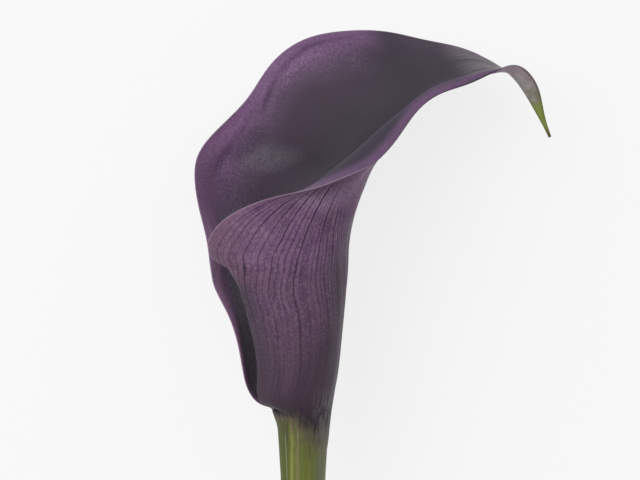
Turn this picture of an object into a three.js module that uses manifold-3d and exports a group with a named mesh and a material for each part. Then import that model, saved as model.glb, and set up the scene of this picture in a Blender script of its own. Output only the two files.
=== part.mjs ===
// A calla lily flower on its cut stem, lying on its far side.
// It is three pieces: the stem, the spathe (one rolled leaf that flares into a limb and ends in a
// twisted tail) and the spadix, the spike of florets that stands hidden in the spathe's tube.
//
// Frame: millimetres. +X is the flower's right, seen from its open side, +Y runs along the flower from
// the stem to the mouth, and +Z is up. The table is the plane Z = 0. The far rim of the limb and the
// cut end of the stem lie on it.

import * as THREE from 'three';
import { mergeVertices } from 'three/addons/utils/BufferGeometryUtils.js';
import Module from 'manifold-3d';

const wasm = await Module();
wasm.setup();

// Where the middle of the spathe's foot lies, with the origin under the middle of the whole flower.
const FOOT = new THREE.Vector3(-18.73, 18.15, 29.5);

// Spathe.
const SHEET_THICKNESS = 1.0;
// How far round the spathe each rib stands, from the far margin (0) to the near margin (1). The fifth
// is the midrib.
const RIB_PLACES = [0, 0.08, 0.2, 0.34, 0.5, 0.64, 0.78, 0.9, 0.96, 1];
// How far in from the far margin it flares, and where the near margin starts to droop.
const FLARE_REACH = 0.2;
const DROOP_START = 0.75;
// The near margin is cut back under its corner: the places up the spathe where that begins, is deepest
// and ends, how deep it goes and how far in from the margin the sheet gives way to it.
const CUT_BACK = { from: 0.21, deepest: 0.256, to: 0.264, depth: 0.035, reach: 0.3 };
// Strips of mesh between one rib and the next.
const STRIPS_BETWEEN_RIBS = [3, 3, 4, 4, 4, 4, 3, 3, 2];
const STRIPS_IN_LIMB = 3;
const STRIPS_ELSEWHERE = 2;
const SLOPE_STEP = 1e-4;

// Stem.
const STEM_LENGTH = 140;
const STEM_DROP = 24.65;
const STEM_SIDES = 24;
const STEM_RINGS_BELOW = 22;
// Distance below the spathe's foot, and the stem's radius there.
const STEM_PROFILE = [[0, 7.8], [2.2, 7.4], [5, 7.0], [10, 6.5], [18, 6.05], [40, 5.8], [140, 5.5]];
const CUT_END_BEVEL = 0.4;

// The sloped face on top of the stem that carries the spathe and the spadix.
const SEAT_HEIGHT = -0.25;
const SEAT_SLOPE = -0.1;
const SEAT_GAP = 0.3;
const SEAT_FADE = 9;

// Spadix.
const SPADIX_LENGTH = 44;
const SPADIX_LEAN = -0.09;
const SPADIX_SIDES = 32;
const SPADIX_RINGS = 44;
// Distance up the spadix as a share of its length, and its radius there.
const SPADIX_PROFILE = [[0, 3.0], [0.08, 3.1], [0.2, 3.7], [0.5, 3.8], [0.8, 3.2], [0.95, 1.9], [1, 0.8]];
// Crossing spirals of florets: how many wind each way, and how many turns each makes up the spike.
const SPIRALS = [{ count: 8, turns: 1.4 }, { count: -5, turns: 2.2 }];
const FLORET_RELIEF = 0.16;

// Height of the slab that is cut away below the table.
const SLAB = 20;

const SPATHE_COLOUR = 0x5e4160;
const STEM_COLOUR = 0x6a7440;
const SPADIX_COLOUR = 0xb48a33;

// A smooth curve through points at given places from 0 to 1, straight at both ends.
class NaturalSpline extends THREE.Curve {
  constructor(places, points) {
    super();
    this.places = places;
    this.points = points;
    this.bends = this.solveBends();
  }

  // The second derivative at each point, which makes the slope and the bend run on through it.
  solveBends() {
    const { places, points } = this;
    const last = points.length - 1;
    const bends = points.map(() => new THREE.Vector3());
    const weights = new Array(last + 1).fill(0);
    for (let i = 1; i < last; i++) {
      const before = places[i] - places[i - 1];
      const after = places[i + 1] - places[i];
      const rise = points[i + 1].clone().sub(points[i]).divideScalar(after);
      const fall = points[i].clone().sub(points[i - 1]).divideScalar(before);
      const pivot = 2 * (before + after) - before * weights[i - 1];
      weights[i] = after / pivot;
      bends[i] = rise.sub(fall).multiplyScalar(6).addScaledVector(bends[i - 1], -before);
      bends[i].divideScalar(pivot);
    }
    for (let i = last - 1; i > 0; i--) {
      bends[i].addScaledVector(bends[i + 1], -weights[i]);
    }
    return bends;
  }

  getPoint(t, target = new THREE.Vector3()) {
    const { places, points, bends } = this;
    const place = THREE.MathUtils.clamp(t, 0, 1);
    let i = 0;
    while (i < places.length - 2 && place > places[i + 1]) {
      i += 1;
    }
    const span = places[i + 1] - places[i];
    const b = (place - places[i]) / span;
    const a = 1 - b;
    target.copy(points[i]).multiplyScalar(a);
    target.addScaledVector(points[i + 1], b);
    target.addScaledVector(bends[i], ((a ** 3 - a) * span ** 2) / 6);
    return target.addScaledVector(bends[i + 1], ((b ** 3 - b) * span ** 2) / 6);
  }
}

// Stations of the spathe. Each holds one point for each rib, from the far margin round the back to the
// near one, measured from the middle of the foot.

// A station of the tube: an arc of an ellipse that opens on the left, between two angles in degrees.
// It can lean down to the right or dip at the front. The far margin can flare outward and the near
// one droop over it.
function arc({ x, y, halfWidth, halfDepth, from, to, lean = 0, dip = 0, flare = 0, droop = 0 }) {
  return RIB_PLACES.map((place) => {
    const angle = THREE.MathUtils.degToRad(THREE.MathUtils.lerp(from, to, place));
    const side = Math.cos(angle);
    const front = Math.sin(angle);
    const flared = flare * Math.max(0, 1 - place / FLARE_REACH) ** 2;
    const drooped = droop * Math.max(0, (place - DROOP_START) / (1 - DROOP_START)) ** 2;
    return new THREE.Vector3(
      x + halfWidth * side - flared,
      y - lean * side - dip * front,
      halfDepth * front - drooped,
    );
  });
}

// A station of the tail: a shallow channel across a line that heads so many degrees from +X, turned
// about that line by the twist. Unturned, it opens upwards.
function channel({ x, y, z, heading, halfWidth, depth, twist }) {
  const turn = THREE.MathUtils.degToRad(twist);
  const aim = THREE.MathUtils.degToRad(heading);
  const left = new THREE.Vector3(-Math.sin(aim), Math.cos(aim), 0);
  const up = new THREE.Vector3(0, 0, 1);
  const across = left.clone().multiplyScalar(-Math.cos(turn)).addScaledVector(up, Math.sin(turn));
  const down = up.clone().multiplyScalar(-Math.cos(turn)).addScaledVector(left, -Math.sin(turn));
  return RIB_PLACES.map((place) => {
    const side = 2 * place - 1;
    const point = new THREE.Vector3(x, y, z).addScaledVector(across, halfWidth * side);
    return point.addScaledVector(down, depth * (1 - side ** 2));
  });
}

// A station of the limb, whose shape follows no simple curve: its points are given.
function points(...list) {
  return list.map((point) => new THREE.Vector3(...point));
}

const TUBE = [
  arc({ x: -0.4, y: 0.3, halfWidth: 7.5, halfDepth: 7.3, from: 170, to: 509, lean: 1.0 }),
  arc({ x: -2.2, y: 2.5, halfWidth: 9.8, halfDepth: 9.4, from: 178, to: 512, lean: 0.1 }),
  arc({ x: -3.0, y: 5.4, halfWidth: 11.1, halfDepth: 10.6, from: 177, to: 504, flare: 0.2, droop: 1.2 }),
  arc({ x: -3.3, y: 10.8, halfWidth: 12.3, halfDepth: 12.0, from: 175, to: 495, flare: 0.4, droop: 2.2 }),
  arc({
    x: -3.5, y: 18.1, halfWidth: 13.3, halfDepth: 13.2, from: 174, to: 494, dip: 0.3, flare: 0.6, droop: 2.8,
  }),
  arc({
    x: -4.3, y: 27.3, halfWidth: 15.0, halfDepth: 15.0, from: 174, to: 494, dip: 1.0, flare: 1.2, droop: 1.6,
  }),
  arc({
    x: -5.4, y: 35.6, halfWidth: 16.9, halfDepth: 16.6, from: 174, to: 499, dip: 1.6, flare: 2.0, droop: 0.4,
  }),
];

// The first station passes through the corner where the near margin folds over the far one. The
// near margin then climbs across the front, rolls outward from the fifth station on, and runs with
// the midrib to the tail, while the far margin rolls back and lies along the table.
const LIMB = [
  points([-25.6, 44.8, -1], [-22.5, 45.6, -8.4], [-15.5, 45.4, -16], [-0.9, 44.3, -18.2],
    [10.4, 42.9, -7.5], [11, 41.6, 6], [2.5, 40, 16.2], [-12.6, 40.6, 17.2],
    [-20.9, 42, 14.6], [-25, 43.7, 11.3]),
  points([-27.4, 52.4, -3], [-24.3, 52.7, -10.2], [-17, 52, -18], [-1, 50.3, -20],
    [10.8, 48.3, -8.5], [11.8, 46.4, 6], [5.7, 44.1, 15.2], [-9.1, 44.3, 17.9],
    [-18.1, 47, 16.4], [-22.7, 49.9, 14]),
  points([-29.4, 60.9, -8], [-25.8, 60.6, -14.5], [-17, 58.6, -19.8], [-0.4, 56.2, -21.2],
    [11.8, 53.6, -10.5], [12.9, 51.3, 5], [8.7, 48.3, 14], [-3.3, 49.1, 18.4],
    [-12.2, 52.2, 18.3], [-16.2, 54.5, 18]),
  points([-28.9, 69.4, -14.5], [-25, 68.2, -18.5], [-15.6, 64.8, -21.3], [0.7, 61.4, -22],
    [13.2, 58.5, -12.5], [14.4, 56.2, 4], [11.5, 52.9, 12.5], [2.2, 53.8, 18],
    [-4.6, 56.9, 19.3], [-7.5, 57.6, 20.6]),
  points([-23.8, 77.1, -21], [-20.6, 75.1, -22.5], [-12.2, 70.4, -22.5], [3.2, 66.5, -22.2],
    [15, 62.9, -13], [16, 60.5, 3], [13.3, 58.2, 11], [7.4, 59.2, 15.5],
    [2.2, 60.4, 18.1], [2.4, 59.8, 20.4]),
  points([-16.2, 85.2, -26], [-13.8, 82.5, -25], [-6.3, 77.1, -23.5], [7.6, 72, -21.5],
    [17.2, 68.4, -13.5], [18.5, 66.1, 0], [15.9, 64.1, 8.5], [12.3, 64.3, 12.3],
    [9, 65.4, 15.4], [11.4, 63.1, 18.5]),
  points([-9.4, 95.3, -29.3], [-6.4, 91.5, -26.9], [1, 84.1, -24], [13.2, 77.8, -20.5],
    [21.9, 73, -12], [22.2, 71, -1], [20.5, 69.5, 5], [17.8, 69.7, 8.4],
    [15.4, 70.5, 11.5], [18.9, 66.9, 14.6]),
  points([0.2, 102.5, -29.2], [2.3, 97.9, -26.7], [8.5, 89.9, -23.5], [19.3, 82.2, -19],
    [25.4, 76.5, -11], [25.7, 75.1, -3], [24.7, 74.2, 2.6], [22.8, 74.5, 5.6],
    [21.2, 75.9, 8.3], [24.8, 73.1, 10.9]),
  points([13, 105.1, -29], [13.8, 101, -26.3], [18, 93.5, -23], [25.6, 86.2, -17.5],
    [29.5, 81.5, -10.5], [29.2, 80.5, -4.5], [28.8, 79.9, -0.6], [28.2, 80.3, 2.3],
    [27.6, 81.5, 4.3], [29.8, 80.1, 5.8]),
  points([27, 104, -28.9], [27.2, 100.6, -25.6], [29.3, 95.3, -20.8], [33.3, 90.5, -15.5],
    [35.8, 87.5, -10.5], [36.1, 86.6, -6.2], [35.7, 86.1, -3.1], [35, 86.2, -0.6],
    [34.7, 86.9, 1.3], [36.4, 85.6, 2.6]),
  points([38.7, 101, -22], [38.9, 98.8, -20], [40.4, 95.8, -16.8], [42.5, 93.1, -13.2],
    [44, 91.2, -10], [44.5, 90.1, -7.2], [44.2, 89.5, -5], [43.7, 89.6, -2.8],
    [43.4, 90.2, -1.1], [44.7, 88.7, 0]),
  points([47.7, 97.7, -15], [48.2, 96.9, -14.8], [49.1, 95.4, -13.6], [50, 94.1, -12],
    [50.5, 93, -9.8], [50.7, 92.1, -7.7], [50.6, 91.9, -6], [50.3, 91.9, -4.6],
    [50.1, 92.2, -3.5], [50.6, 91.5, -2.7]),
];

// The first station stands on edge, where the two margins cross.
const TAIL = [
  channel({ x: 54.0, y: 93.5, z: -8.2, heading: 3, halfWidth: 4.2, depth: 0.9, twist: 84 }),
  channel({ x: 57.5, y: 92.6, z: -7.8, heading: -22, halfWidth: 2.7, depth: 0.6, twist: 120 }),
  channel({ x: 61.7, y: 88.2, z: -7.4, heading: -54, halfWidth: 2.1, depth: 0.5, twist: 153 }),
  channel({ x: 64.0, y: 82.8, z: -7.2, heading: -67, halfWidth: 1.2, depth: 0.3, twist: 165 }),
  channel({ x: 65.7, y: 78.3, z: -7.2, heading: -66, halfWidth: 0.5, depth: 0.1, twist: 170 }),
  channel({ x: 67.3, y: 74.5, z: -7.4, heading: -64, halfWidth: 0.2, depth: 0, twist: 170 }),
];

const STATIONS = [...TUBE, ...LIMB, ...TAIL];

// The place of each station up the spathe, from 0 to 1, by its mean distance from the one before.
function placeStations(stations) {
  const reached = [0];
  for (let i = 1; i < stations.length; i++) {
    const steps = stations[i].map((point, rib) => point.distanceTo(stations[i - 1][rib]));
    const mean = steps.reduce((sum, step) => sum + step, 0) / steps.length;
    reached.push(reached[i - 1] + mean);
  }
  return reached.map((length) => length / reached[reached.length - 1]);
}

const STATION_PLACES = placeStations(STATIONS);
const RIBS = RIB_PLACES.map(
  (_, rib) => new NaturalSpline(STATION_PLACES, STATIONS.map((station) => station[rib])),
);

function stationAt(v) {
  return new NaturalSpline(RIB_PLACES, RIBS.map((rib) => rib.getPoint(v)));
}

// Places from 0 to 1, each span between two knots cut in its own number of equal steps.
function subdivide(knots, stepsInSpan) {
  const places = [];
  for (let i = 0; i < knots.length - 1; i++) {
    const steps = stepsInSpan(i);
    for (let step = 0; step < steps; step++) {
      places.push(THREE.MathUtils.lerp(knots[i], knots[i + 1], step / steps));
    }
  }
  places.push(1);
  return places;
}

// A row of points across the spathe, each with the direction of its inner face.
function sheetRow(v, places) {
  const here = stationAt(v);
  const below = stationAt(v - SLOPE_STEP);
  const above = stationAt(v + SLOPE_STEP);
  return places.map((u) => {
    const across = here.getPoint(u + SLOPE_STEP).sub(here.getPoint(u - SLOPE_STEP));
    const along = above.getPoint(u).sub(below.getPoint(u));
    return { point: here.getPoint(u), normal: across.cross(along).normalize() };
  });
}

// A closed sheet about a grid of points, cut into the same triangles on both faces.
function closedSheet(rows, thickness) {
  const rowLength = rows[0].length;
  const count = rows.length * rowLength;
  const positions = [];
  for (const side of [0.5, -0.5]) {
    for (const { point, normal } of rows.flat()) {
      positions.push(...point.clone().addScaledVector(normal, side * thickness).toArray());
    }
  }
  const index = [];
  const at = (row, column) => row * rowLength + column;
  for (let row = 0; row < rows.length - 1; row++) {
    for (let column = 0; column < rowLength - 1; column++) {
      const corners = [at(row, column), at(row, column + 1), at(row + 1, column + 1), at(row + 1, column)];
      for (const [a, b, c] of [[0, 1, 3], [1, 2, 3]]) {
        index.push(corners[a], corners[b], corners[c]);
        index.push(corners[c] + count, corners[b] + count, corners[a] + count);
      }
    }
  }
  const border = [];
  for (let column = 0; column < rowLength - 1; column++) {
    border.push(at(0, column));
  }
  for (let row = 0; row < rows.length - 1; row++) {
    border.push(at(row, rowLength - 1));
  }
  for (let column = rowLength - 1; column > 0; column--) {
    border.push(at(rows.length - 1, column));
  }
  for (let row = rows.length - 1; row > 0; row--) {
    border.push(at(row, 0));
  }
  border.forEach((a, i) => {
    const b = border[(i + 1) % border.length];
    index.push(a + count, b + count, b);
    index.push(a + count, b, a);
  });
  const geometry = new THREE.BufferGeometry();
  geometry.setAttribute('position', new THREE.Float32BufferAttribute(positions, 3));
  geometry.setIndex(index);
  return geometry;
}

// How far the near margin is cut back at a place up the spathe, as a share of the way across.
function cutBackAt(v) {
  const begun = THREE.MathUtils.clamp((v - CUT_BACK.from) / (CUT_BACK.deepest - CUT_BACK.from), 0, 1);
  return CUT_BACK.depth * begun * (1 - THREE.MathUtils.smoothstep(v, CUT_BACK.deepest, CUT_BACK.to));
}

function spatheGeometry() {
  const isLimb = (span) => span >= TUBE.length - 1 && span < TUBE.length + LIMB.length - 1;
  const across = subdivide(RIB_PLACES, (span) => STRIPS_BETWEEN_RIBS[span]);
  const along = subdivide(STATION_PLACES, (span) => (isLimb(span) ? STRIPS_IN_LIMB : STRIPS_ELSEWHERE));
  const trimmed = (v) => across.map(
    (u) => u - cutBackAt(v) * THREE.MathUtils.smoothstep(u, 1 - CUT_BACK.reach, 1),
  );
  return closedSheet(along.map((v) => sheetRow(v, trimmed(v))), SHEET_THICKNESS);
}

// The value at a place in a list of [place, value] pairs, with straight lines between them.
function profileAt(profile, place) {
  const next = Math.max(1, profile.findIndex(([there]) => there >= place));
  const [fromPlace, fromValue] = profile[next - 1];
  const [toPlace, toValue] = profile[next];
  return THREE.MathUtils.mapLinear(place, fromPlace, toPlace, fromValue, toValue);
}

// Moves every corner of a geometry to where a function puts it.
function reshape(geometry, move) {
  const position = geometry.attributes.position;
  const corner = new THREE.Vector3();
  for (let i = 0; i < position.count; i++) {
    move(corner.fromBufferAttribute(position, i));
    position.setXYZ(i, corner.x, corner.y, corner.z);
  }
  return geometry;
}

// The height of the stem's top face, which slopes down to the right.
function seatAt(x) {
  return SEAT_HEIGHT + SEAT_SLOPE * x;
}

// A straight stem first, hanging down from the foot along -Y, then bent down to the table like a
// loaded beam: level at the foot and steepest at its cut end.
function stemGeometry() {
  const rings = STEM_PROFILE.slice(0, -2).map(([depth, radius]) => new THREE.Vector2(radius, -depth));
  const lowest = STEM_PROFILE[STEM_PROFILE.length - 2][0];
  for (let ring = 0; ring < STEM_RINGS_BELOW; ring++) {
    const depth = THREE.MathUtils.lerp(lowest, STEM_LENGTH - CUT_END_BEVEL, ring / (STEM_RINGS_BELOW - 1));
    rings.push(new THREE.Vector2(profileAt(STEM_PROFILE, depth), -depth));
  }
  const endRadius = STEM_PROFILE[STEM_PROFILE.length - 1][1];
  rings.push(new THREE.Vector2(endRadius - CUT_END_BEVEL, -STEM_LENGTH));
  const outline = [new THREE.Vector2(0, 0), ...rings, new THREE.Vector2(0, -STEM_LENGTH)].reverse();
  return reshape(new THREE.LatheGeometry(outline, STEM_SIDES), (corner) => {
    const depth = -corner.y;
    const slope = (2 * STEM_DROP * depth) / STEM_LENGTH ** 2;
    const drop = STEM_DROP * (depth / STEM_LENGTH) ** 2;
    const angle = Math.atan(slope);
    const seat = seatAt(corner.x) * Math.max(0, 1 - depth / SEAT_FADE);
    corner.set(
      corner.x,
      -depth + seat - corner.z * Math.sin(angle),
      corner.z * Math.cos(angle) - drop,
    );
  });
}

function floretRelief(share, angle) {
  let relief = 0;
  for (const { count, turns } of SPIRALS) {
    relief += Math.cos(count * (angle - turns * 2 * Math.PI * share));
  }
  return FLORET_RELIEF * relief;
}

function spadixGeometry() {
  const outline = [new THREE.Vector2(0, 0)];
  for (let ring = 0; ring <= SPADIX_RINGS; ring++) {
    const share = ring / SPADIX_RINGS;
    outline.push(new THREE.Vector2(profileAt(SPADIX_PROFILE, share), share * SPADIX_LENGTH));
  }
  outline.push(new THREE.Vector2(0, SPADIX_LENGTH + 0.5));
  return reshape(new THREE.LatheGeometry(outline, SPADIX_SIDES), (corner) => {
    const share = corner.y / SPADIX_LENGTH;
    const radius = Math.hypot(corner.x, corner.z);
    if (radius > 0) {
      const relief = floretRelief(share, Math.atan2(corner.z, corner.x)) * Math.min(1, 12 * share);
      corner.x *= 1 + relief / radius;
      corner.z *= 1 + relief / radius;
    }
    const foot = (seatAt(corner.x) + SEAT_GAP) * Math.max(0, 1 - corner.y / SEAT_FADE);
    corner.y += foot;
    corner.x += SPADIX_LEAN * SPADIX_LENGTH * share ** 2;
  });
}

// Shared corners only: a solid needs no normals and no texture places.
function bare(geometry) {
  geometry.deleteAttribute('normal');
  geometry.deleteAttribute('uv');
  return mergeVertices(geometry, 1e-4);
}

function toSolid(geometry) {
  return new wasm.Manifold(new wasm.Mesh({
    numProp: 3,
    vertProperties: new Float32Array(geometry.attributes.position.array),
    triVerts: new Uint32Array(geometry.index.array),
  }));
}

function fromSolid(solid) {
  const mesh = solid.getMesh();
  const geometry = new THREE.BufferGeometry();
  geometry.setAttribute('position', new THREE.BufferAttribute(mesh.vertProperties, 3));
  geometry.setIndex(new THREE.BufferAttribute(mesh.triVerts, 1));
  return geometry;
}

// Takes off what would reach below the table, which leaves a small flat spot to lie on.
function flattenOnTable(geometry) {
  const slab = new THREE.BoxGeometry(400, 400, SLAB).translate(0, 0, -FOOT.z - SLAB / 2);
  return fromSolid(toSolid(bare(geometry)).subtract(toSolid(bare(slab))));
}

function piece(name, geometry, colour, roughness) {
  geometry.computeVertexNormals();
  const material = new THREE.MeshStandardMaterial({ color: colour, roughness, metalness: 0 });
  const mesh = new THREE.Mesh(geometry, material);
  mesh.name = name;
  return mesh;
}

const flower = new THREE.Group();
flower.position.copy(FOOT);
flower.add(piece('stem', flattenOnTable(stemGeometry()), STEM_COLOUR, 0.45));
flower.add(piece('spathe', flattenOnTable(spatheGeometry()), SPATHE_COLOUR, 0.55));
flower.add(piece('spadix', bare(spadixGeometry()), SPADIX_COLOUR, 0.7));

export default flower;
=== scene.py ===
import logging
import math
from dataclasses import dataclass
from enum import Enum
from typing import Callable, Sequence

import bpy
import numpy as np
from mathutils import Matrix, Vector


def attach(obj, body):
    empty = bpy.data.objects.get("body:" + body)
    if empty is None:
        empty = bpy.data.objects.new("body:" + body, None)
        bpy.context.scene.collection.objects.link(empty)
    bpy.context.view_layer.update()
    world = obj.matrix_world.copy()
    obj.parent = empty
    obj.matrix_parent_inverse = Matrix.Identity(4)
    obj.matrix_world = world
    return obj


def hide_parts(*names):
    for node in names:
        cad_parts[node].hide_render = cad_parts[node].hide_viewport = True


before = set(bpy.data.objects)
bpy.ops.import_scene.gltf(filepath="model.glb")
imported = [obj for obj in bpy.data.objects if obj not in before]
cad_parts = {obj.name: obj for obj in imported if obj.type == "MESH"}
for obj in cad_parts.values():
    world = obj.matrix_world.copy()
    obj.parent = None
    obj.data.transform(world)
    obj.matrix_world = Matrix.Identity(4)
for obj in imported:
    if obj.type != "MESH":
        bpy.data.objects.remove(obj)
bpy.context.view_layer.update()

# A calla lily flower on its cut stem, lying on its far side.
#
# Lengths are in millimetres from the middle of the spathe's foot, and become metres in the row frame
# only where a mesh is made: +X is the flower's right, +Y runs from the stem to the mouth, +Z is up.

LOG = logging.getLogger("calla_lily")

# Where the middle of the spathe's foot lies in the row frame, in millimetres.
FOOT = np.array([-18.73, 18.15, 29.5])
METRE = 0.001
PER_METRE = 1 / METRE
BODY = "root"

Colour = tuple[float, float, float]
Knots = tuple[tuple[float, float], ...]
Reach = tuple[float, ...]
Rows = dict[str, np.ndarray]
Socket = bpy.types.NodeSocket


class Slot(Enum):
    """Material slots of the part's record."""

    SPATHE = "spathe_skin"
    STEM = "stem_skin"
    FLORETS = "floret_skin"


def tint(red: int, green: int, blue: int) -> Colour:
    """Turns a colour given from 0 to 255, as seen on a screen, into linear light."""
    return tuple((value / 255) ** 2.2 for value in (red, green, blue))


def in_metres(points: np.ndarray) -> np.ndarray:
    """Moves points from the flower's millimetres to the row frame's metres."""
    return (np.asarray(points, float) + FOOT) * METRE


def ease(value: np.ndarray | float, low: float, high: float) -> np.ndarray:
    """Rises smoothly from 0 at low to 1 at high."""
    share = np.clip((np.asarray(value, float) - low) / (high - low), 0, 1)
    return share * share * (3 - 2 * share)


def between(value: np.ndarray, begin: float, full: float, fading: float, end: float) -> np.ndarray:
    """Rises smoothly from 0 to 1 between two numbers and falls back between two more."""
    return ease(value, begin, full) * ease(value, end, fading)


def hill(value: np.ndarray | float, width: float) -> np.ndarray:
    """Rises to 1 where a value is 0 and falls away on both sides within about a width."""
    return np.exp(-((value / width) ** 2))


def linked(name: str, data: bpy.types.ID) -> bpy.types.Object:
    """Makes an object at the origin and links it to the scene.

    Args:
        name: Its name.
        data: The mesh, light or camera that it shows.

    Returns:
        The object.
    """
    thing = bpy.data.objects.new(name, data)
    bpy.context.scene.collection.objects.link(thing)
    return thing


def new_object(name: str, vertices: np.ndarray, faces: Sequence, smooth: bool = True) -> bpy.types.Object:
    """Makes a mesh object from points in the flower's millimetres.

    Args:
        name: Name of the object and its mesh.
        vertices: One row of three numbers for each corner.
        faces: Corner numbers of each face.
        smooth: Whether the faces are shaded smooth.

    Returns:
        The object, at the origin and linked to the scene.
    """
    mesh = bpy.data.meshes.new(name)
    mesh.from_pydata(in_metres(vertices).tolist(), [], [list(face) for face in faces])
    mesh.polygons.foreach_set("use_smooth", [smooth] * len(mesh.polygons))
    mesh.update()
    return linked(name, mesh)


def store(piece: bpy.types.Object, name: str, values: np.ndarray) -> None:
    """Keeps a vector for each corner of a mesh under a name that materials can read."""
    attribute = piece.data.attributes.new(name, "FLOAT_VECTOR", "POINT")
    attribute.data.foreach_set("vector", np.asarray(values, np.float32).ravel())


def hand_over(piece: bpy.types.Object, slot: Slot, node: str | None = None) -> None:
    """Ties a finished piece to the part.

    Args:
        piece: The finished mesh object.
        slot: The material slot that is logged for the piece.
        node: The CAD node that the piece stands for, if any.
    """
    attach(piece, BODY)
    if node is not None:
        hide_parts(node)
    LOG.info("%s: %d faces, slot %s", piece.name, len(piece.data.polygons), slot.value)


class NaturalSpline:
    """A smooth curve through values at given places, straight at both ends."""

    def __init__(self, places: Sequence[float], values: np.ndarray) -> None:
        """Solves for the bend at each place, so that slope and bend run on through it.

        Args:
            places: Rising places.
            values: What the curve passes through, one row for each place.
        """
        self.places = np.asarray(places, float)
        self.values = np.asarray(values, float)
        spans = np.diff(self.places)
        count = len(self.places)
        matrix = np.eye(count)
        right = np.zeros(self.values.shape)
        for i in range(1, count - 1):
            matrix[i, i - 1:i + 2] = spans[i - 1], 2 * (spans[i - 1] + spans[i]), spans[i]
            rise = (self.values[i + 1] - self.values[i]) / spans[i]
            fall = (self.values[i] - self.values[i - 1]) / spans[i - 1]
            right[i] = 6 * (rise - fall)
        self.bends = np.linalg.solve(matrix, right.reshape(count, -1)).reshape(right.shape)

    def at(self, where: np.ndarray) -> np.ndarray:
        """Reads the curve.

        Args:
            where: Places on the curve.

        Returns:
            One row for each place.
        """
        where = np.atleast_1d(where)
        left = np.clip(np.searchsorted(self.places, where, side="right") - 1, 0, len(self.places) - 2)
        shape = (len(where),) + (1,) * (self.values.ndim - 1)
        span = (self.places[left + 1] - self.places[left]).reshape(shape)
        before = (self.places[left + 1] - where).reshape(shape) / span
        after = 1 - before
        value = before * self.values[left] + after * self.values[left + 1]
        value += (before ** 3 - before) * self.bends[left] * span ** 2 / 6
        return value + (after ** 3 - after) * self.bends[left + 1] * span ** 2 / 6


# How far round the spathe each rib stands, from the far margin (0) over the midrib (0.5) to the near
# margin (1).
RIB_PLACES = (0, 0.08, 0.2, 0.34, 0.5, 0.64, 0.78, 0.9, 0.96, 1)
FLARE_REACH = 0.2
DROOP_START = 0.75


@dataclass(frozen=True)
class TubeStation:
    """An arc of an ellipse that opens on the left, with one point for each rib.

    It can lean down to the right or dip at the front. The far margin can flare outward and the near
    one droop over it.
    """

    x: float
    y: float
    half_width: float
    half_depth: float
    start: float
    end: float
    lean: float = 0.0
    dip: float = 0.0
    flare: float = 0.0
    droop: float = 0.0

    def points(self) -> np.ndarray:
        """Works out the station's points.

        Returns:
            One row of three numbers for each rib.
        """
        place = np.array(RIB_PLACES)
        angle = np.radians(self.start + (self.end - self.start) * place)
        side, front = np.cos(angle), np.sin(angle)
        flared = self.flare * np.clip(1 - place / FLARE_REACH, 0, None) ** 2
        drooped = self.droop * np.clip((place - DROOP_START) / (1 - DROOP_START), 0, None) ** 2
        return np.stack([
            self.x + self.half_width * side - flared,
            self.y - self.lean * side - self.dip * front,
            self.half_depth * front - drooped,
        ], axis=1)


@dataclass(frozen=True)
class LimbStation:
    """A station of the open limb, whose shape follows no simple curve: its points are given."""

    given: tuple[tuple[float, float, float], ...]

    def points(self) -> np.ndarray:
        """Returns the station's points, one row for each rib."""
        return np.array(self.given, float)


@dataclass(frozen=True)
class TailStation:
    """A shallow channel across the tail, turned about the tail's line by its twist."""

    x: float
    y: float
    z: float
    heading: float
    half_width: float
    depth: float
    twist: float

    def points(self) -> np.ndarray:
        """Works out the station's points.

        Returns:
            One row of three numbers for each rib.
        """
        turn, aim = math.radians(self.twist), math.radians(self.heading)
        left = np.array([-math.sin(aim), math.cos(aim), 0])
        up = np.array([0.0, 0.0, 1.0])
        across = -math.cos(turn) * left + math.sin(turn) * up
        down = -math.cos(turn) * up - math.sin(turn) * left
        side = 2 * np.array(RIB_PLACES)[:, None] - 1
        middle = np.array([self.x, self.y, self.z])
        return middle + self.half_width * side * across + self.depth * (1 - side ** 2) * down


# Stations of the tube, from the foot up to where the limb opens.
TUBE = (
    TubeStation(-0.4, 0.3, 7.5, 7.3, 170, 509, lean=1.0),
    TubeStation(-2.2, 2.5, 9.8, 9.4, 178, 512, lean=0.1),
    TubeStation(-3.0, 5.4, 11.1, 10.6, 177, 504, flare=0.2, droop=1.2),
    TubeStation(-3.3, 10.8, 12.3, 12.0, 175, 495, flare=0.4, droop=2.2),
    TubeStation(-3.5, 18.1, 13.3, 13.2, 174, 494, dip=0.3, flare=0.6, droop=2.8),
    TubeStation(-4.3, 27.3, 15.0, 15.0, 174, 494, dip=1.0, flare=1.2, droop=1.6),
    TubeStation(-5.4, 35.6, 16.9, 16.6, 174, 499, dip=1.6, flare=2.0, droop=0.4),
)

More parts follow.
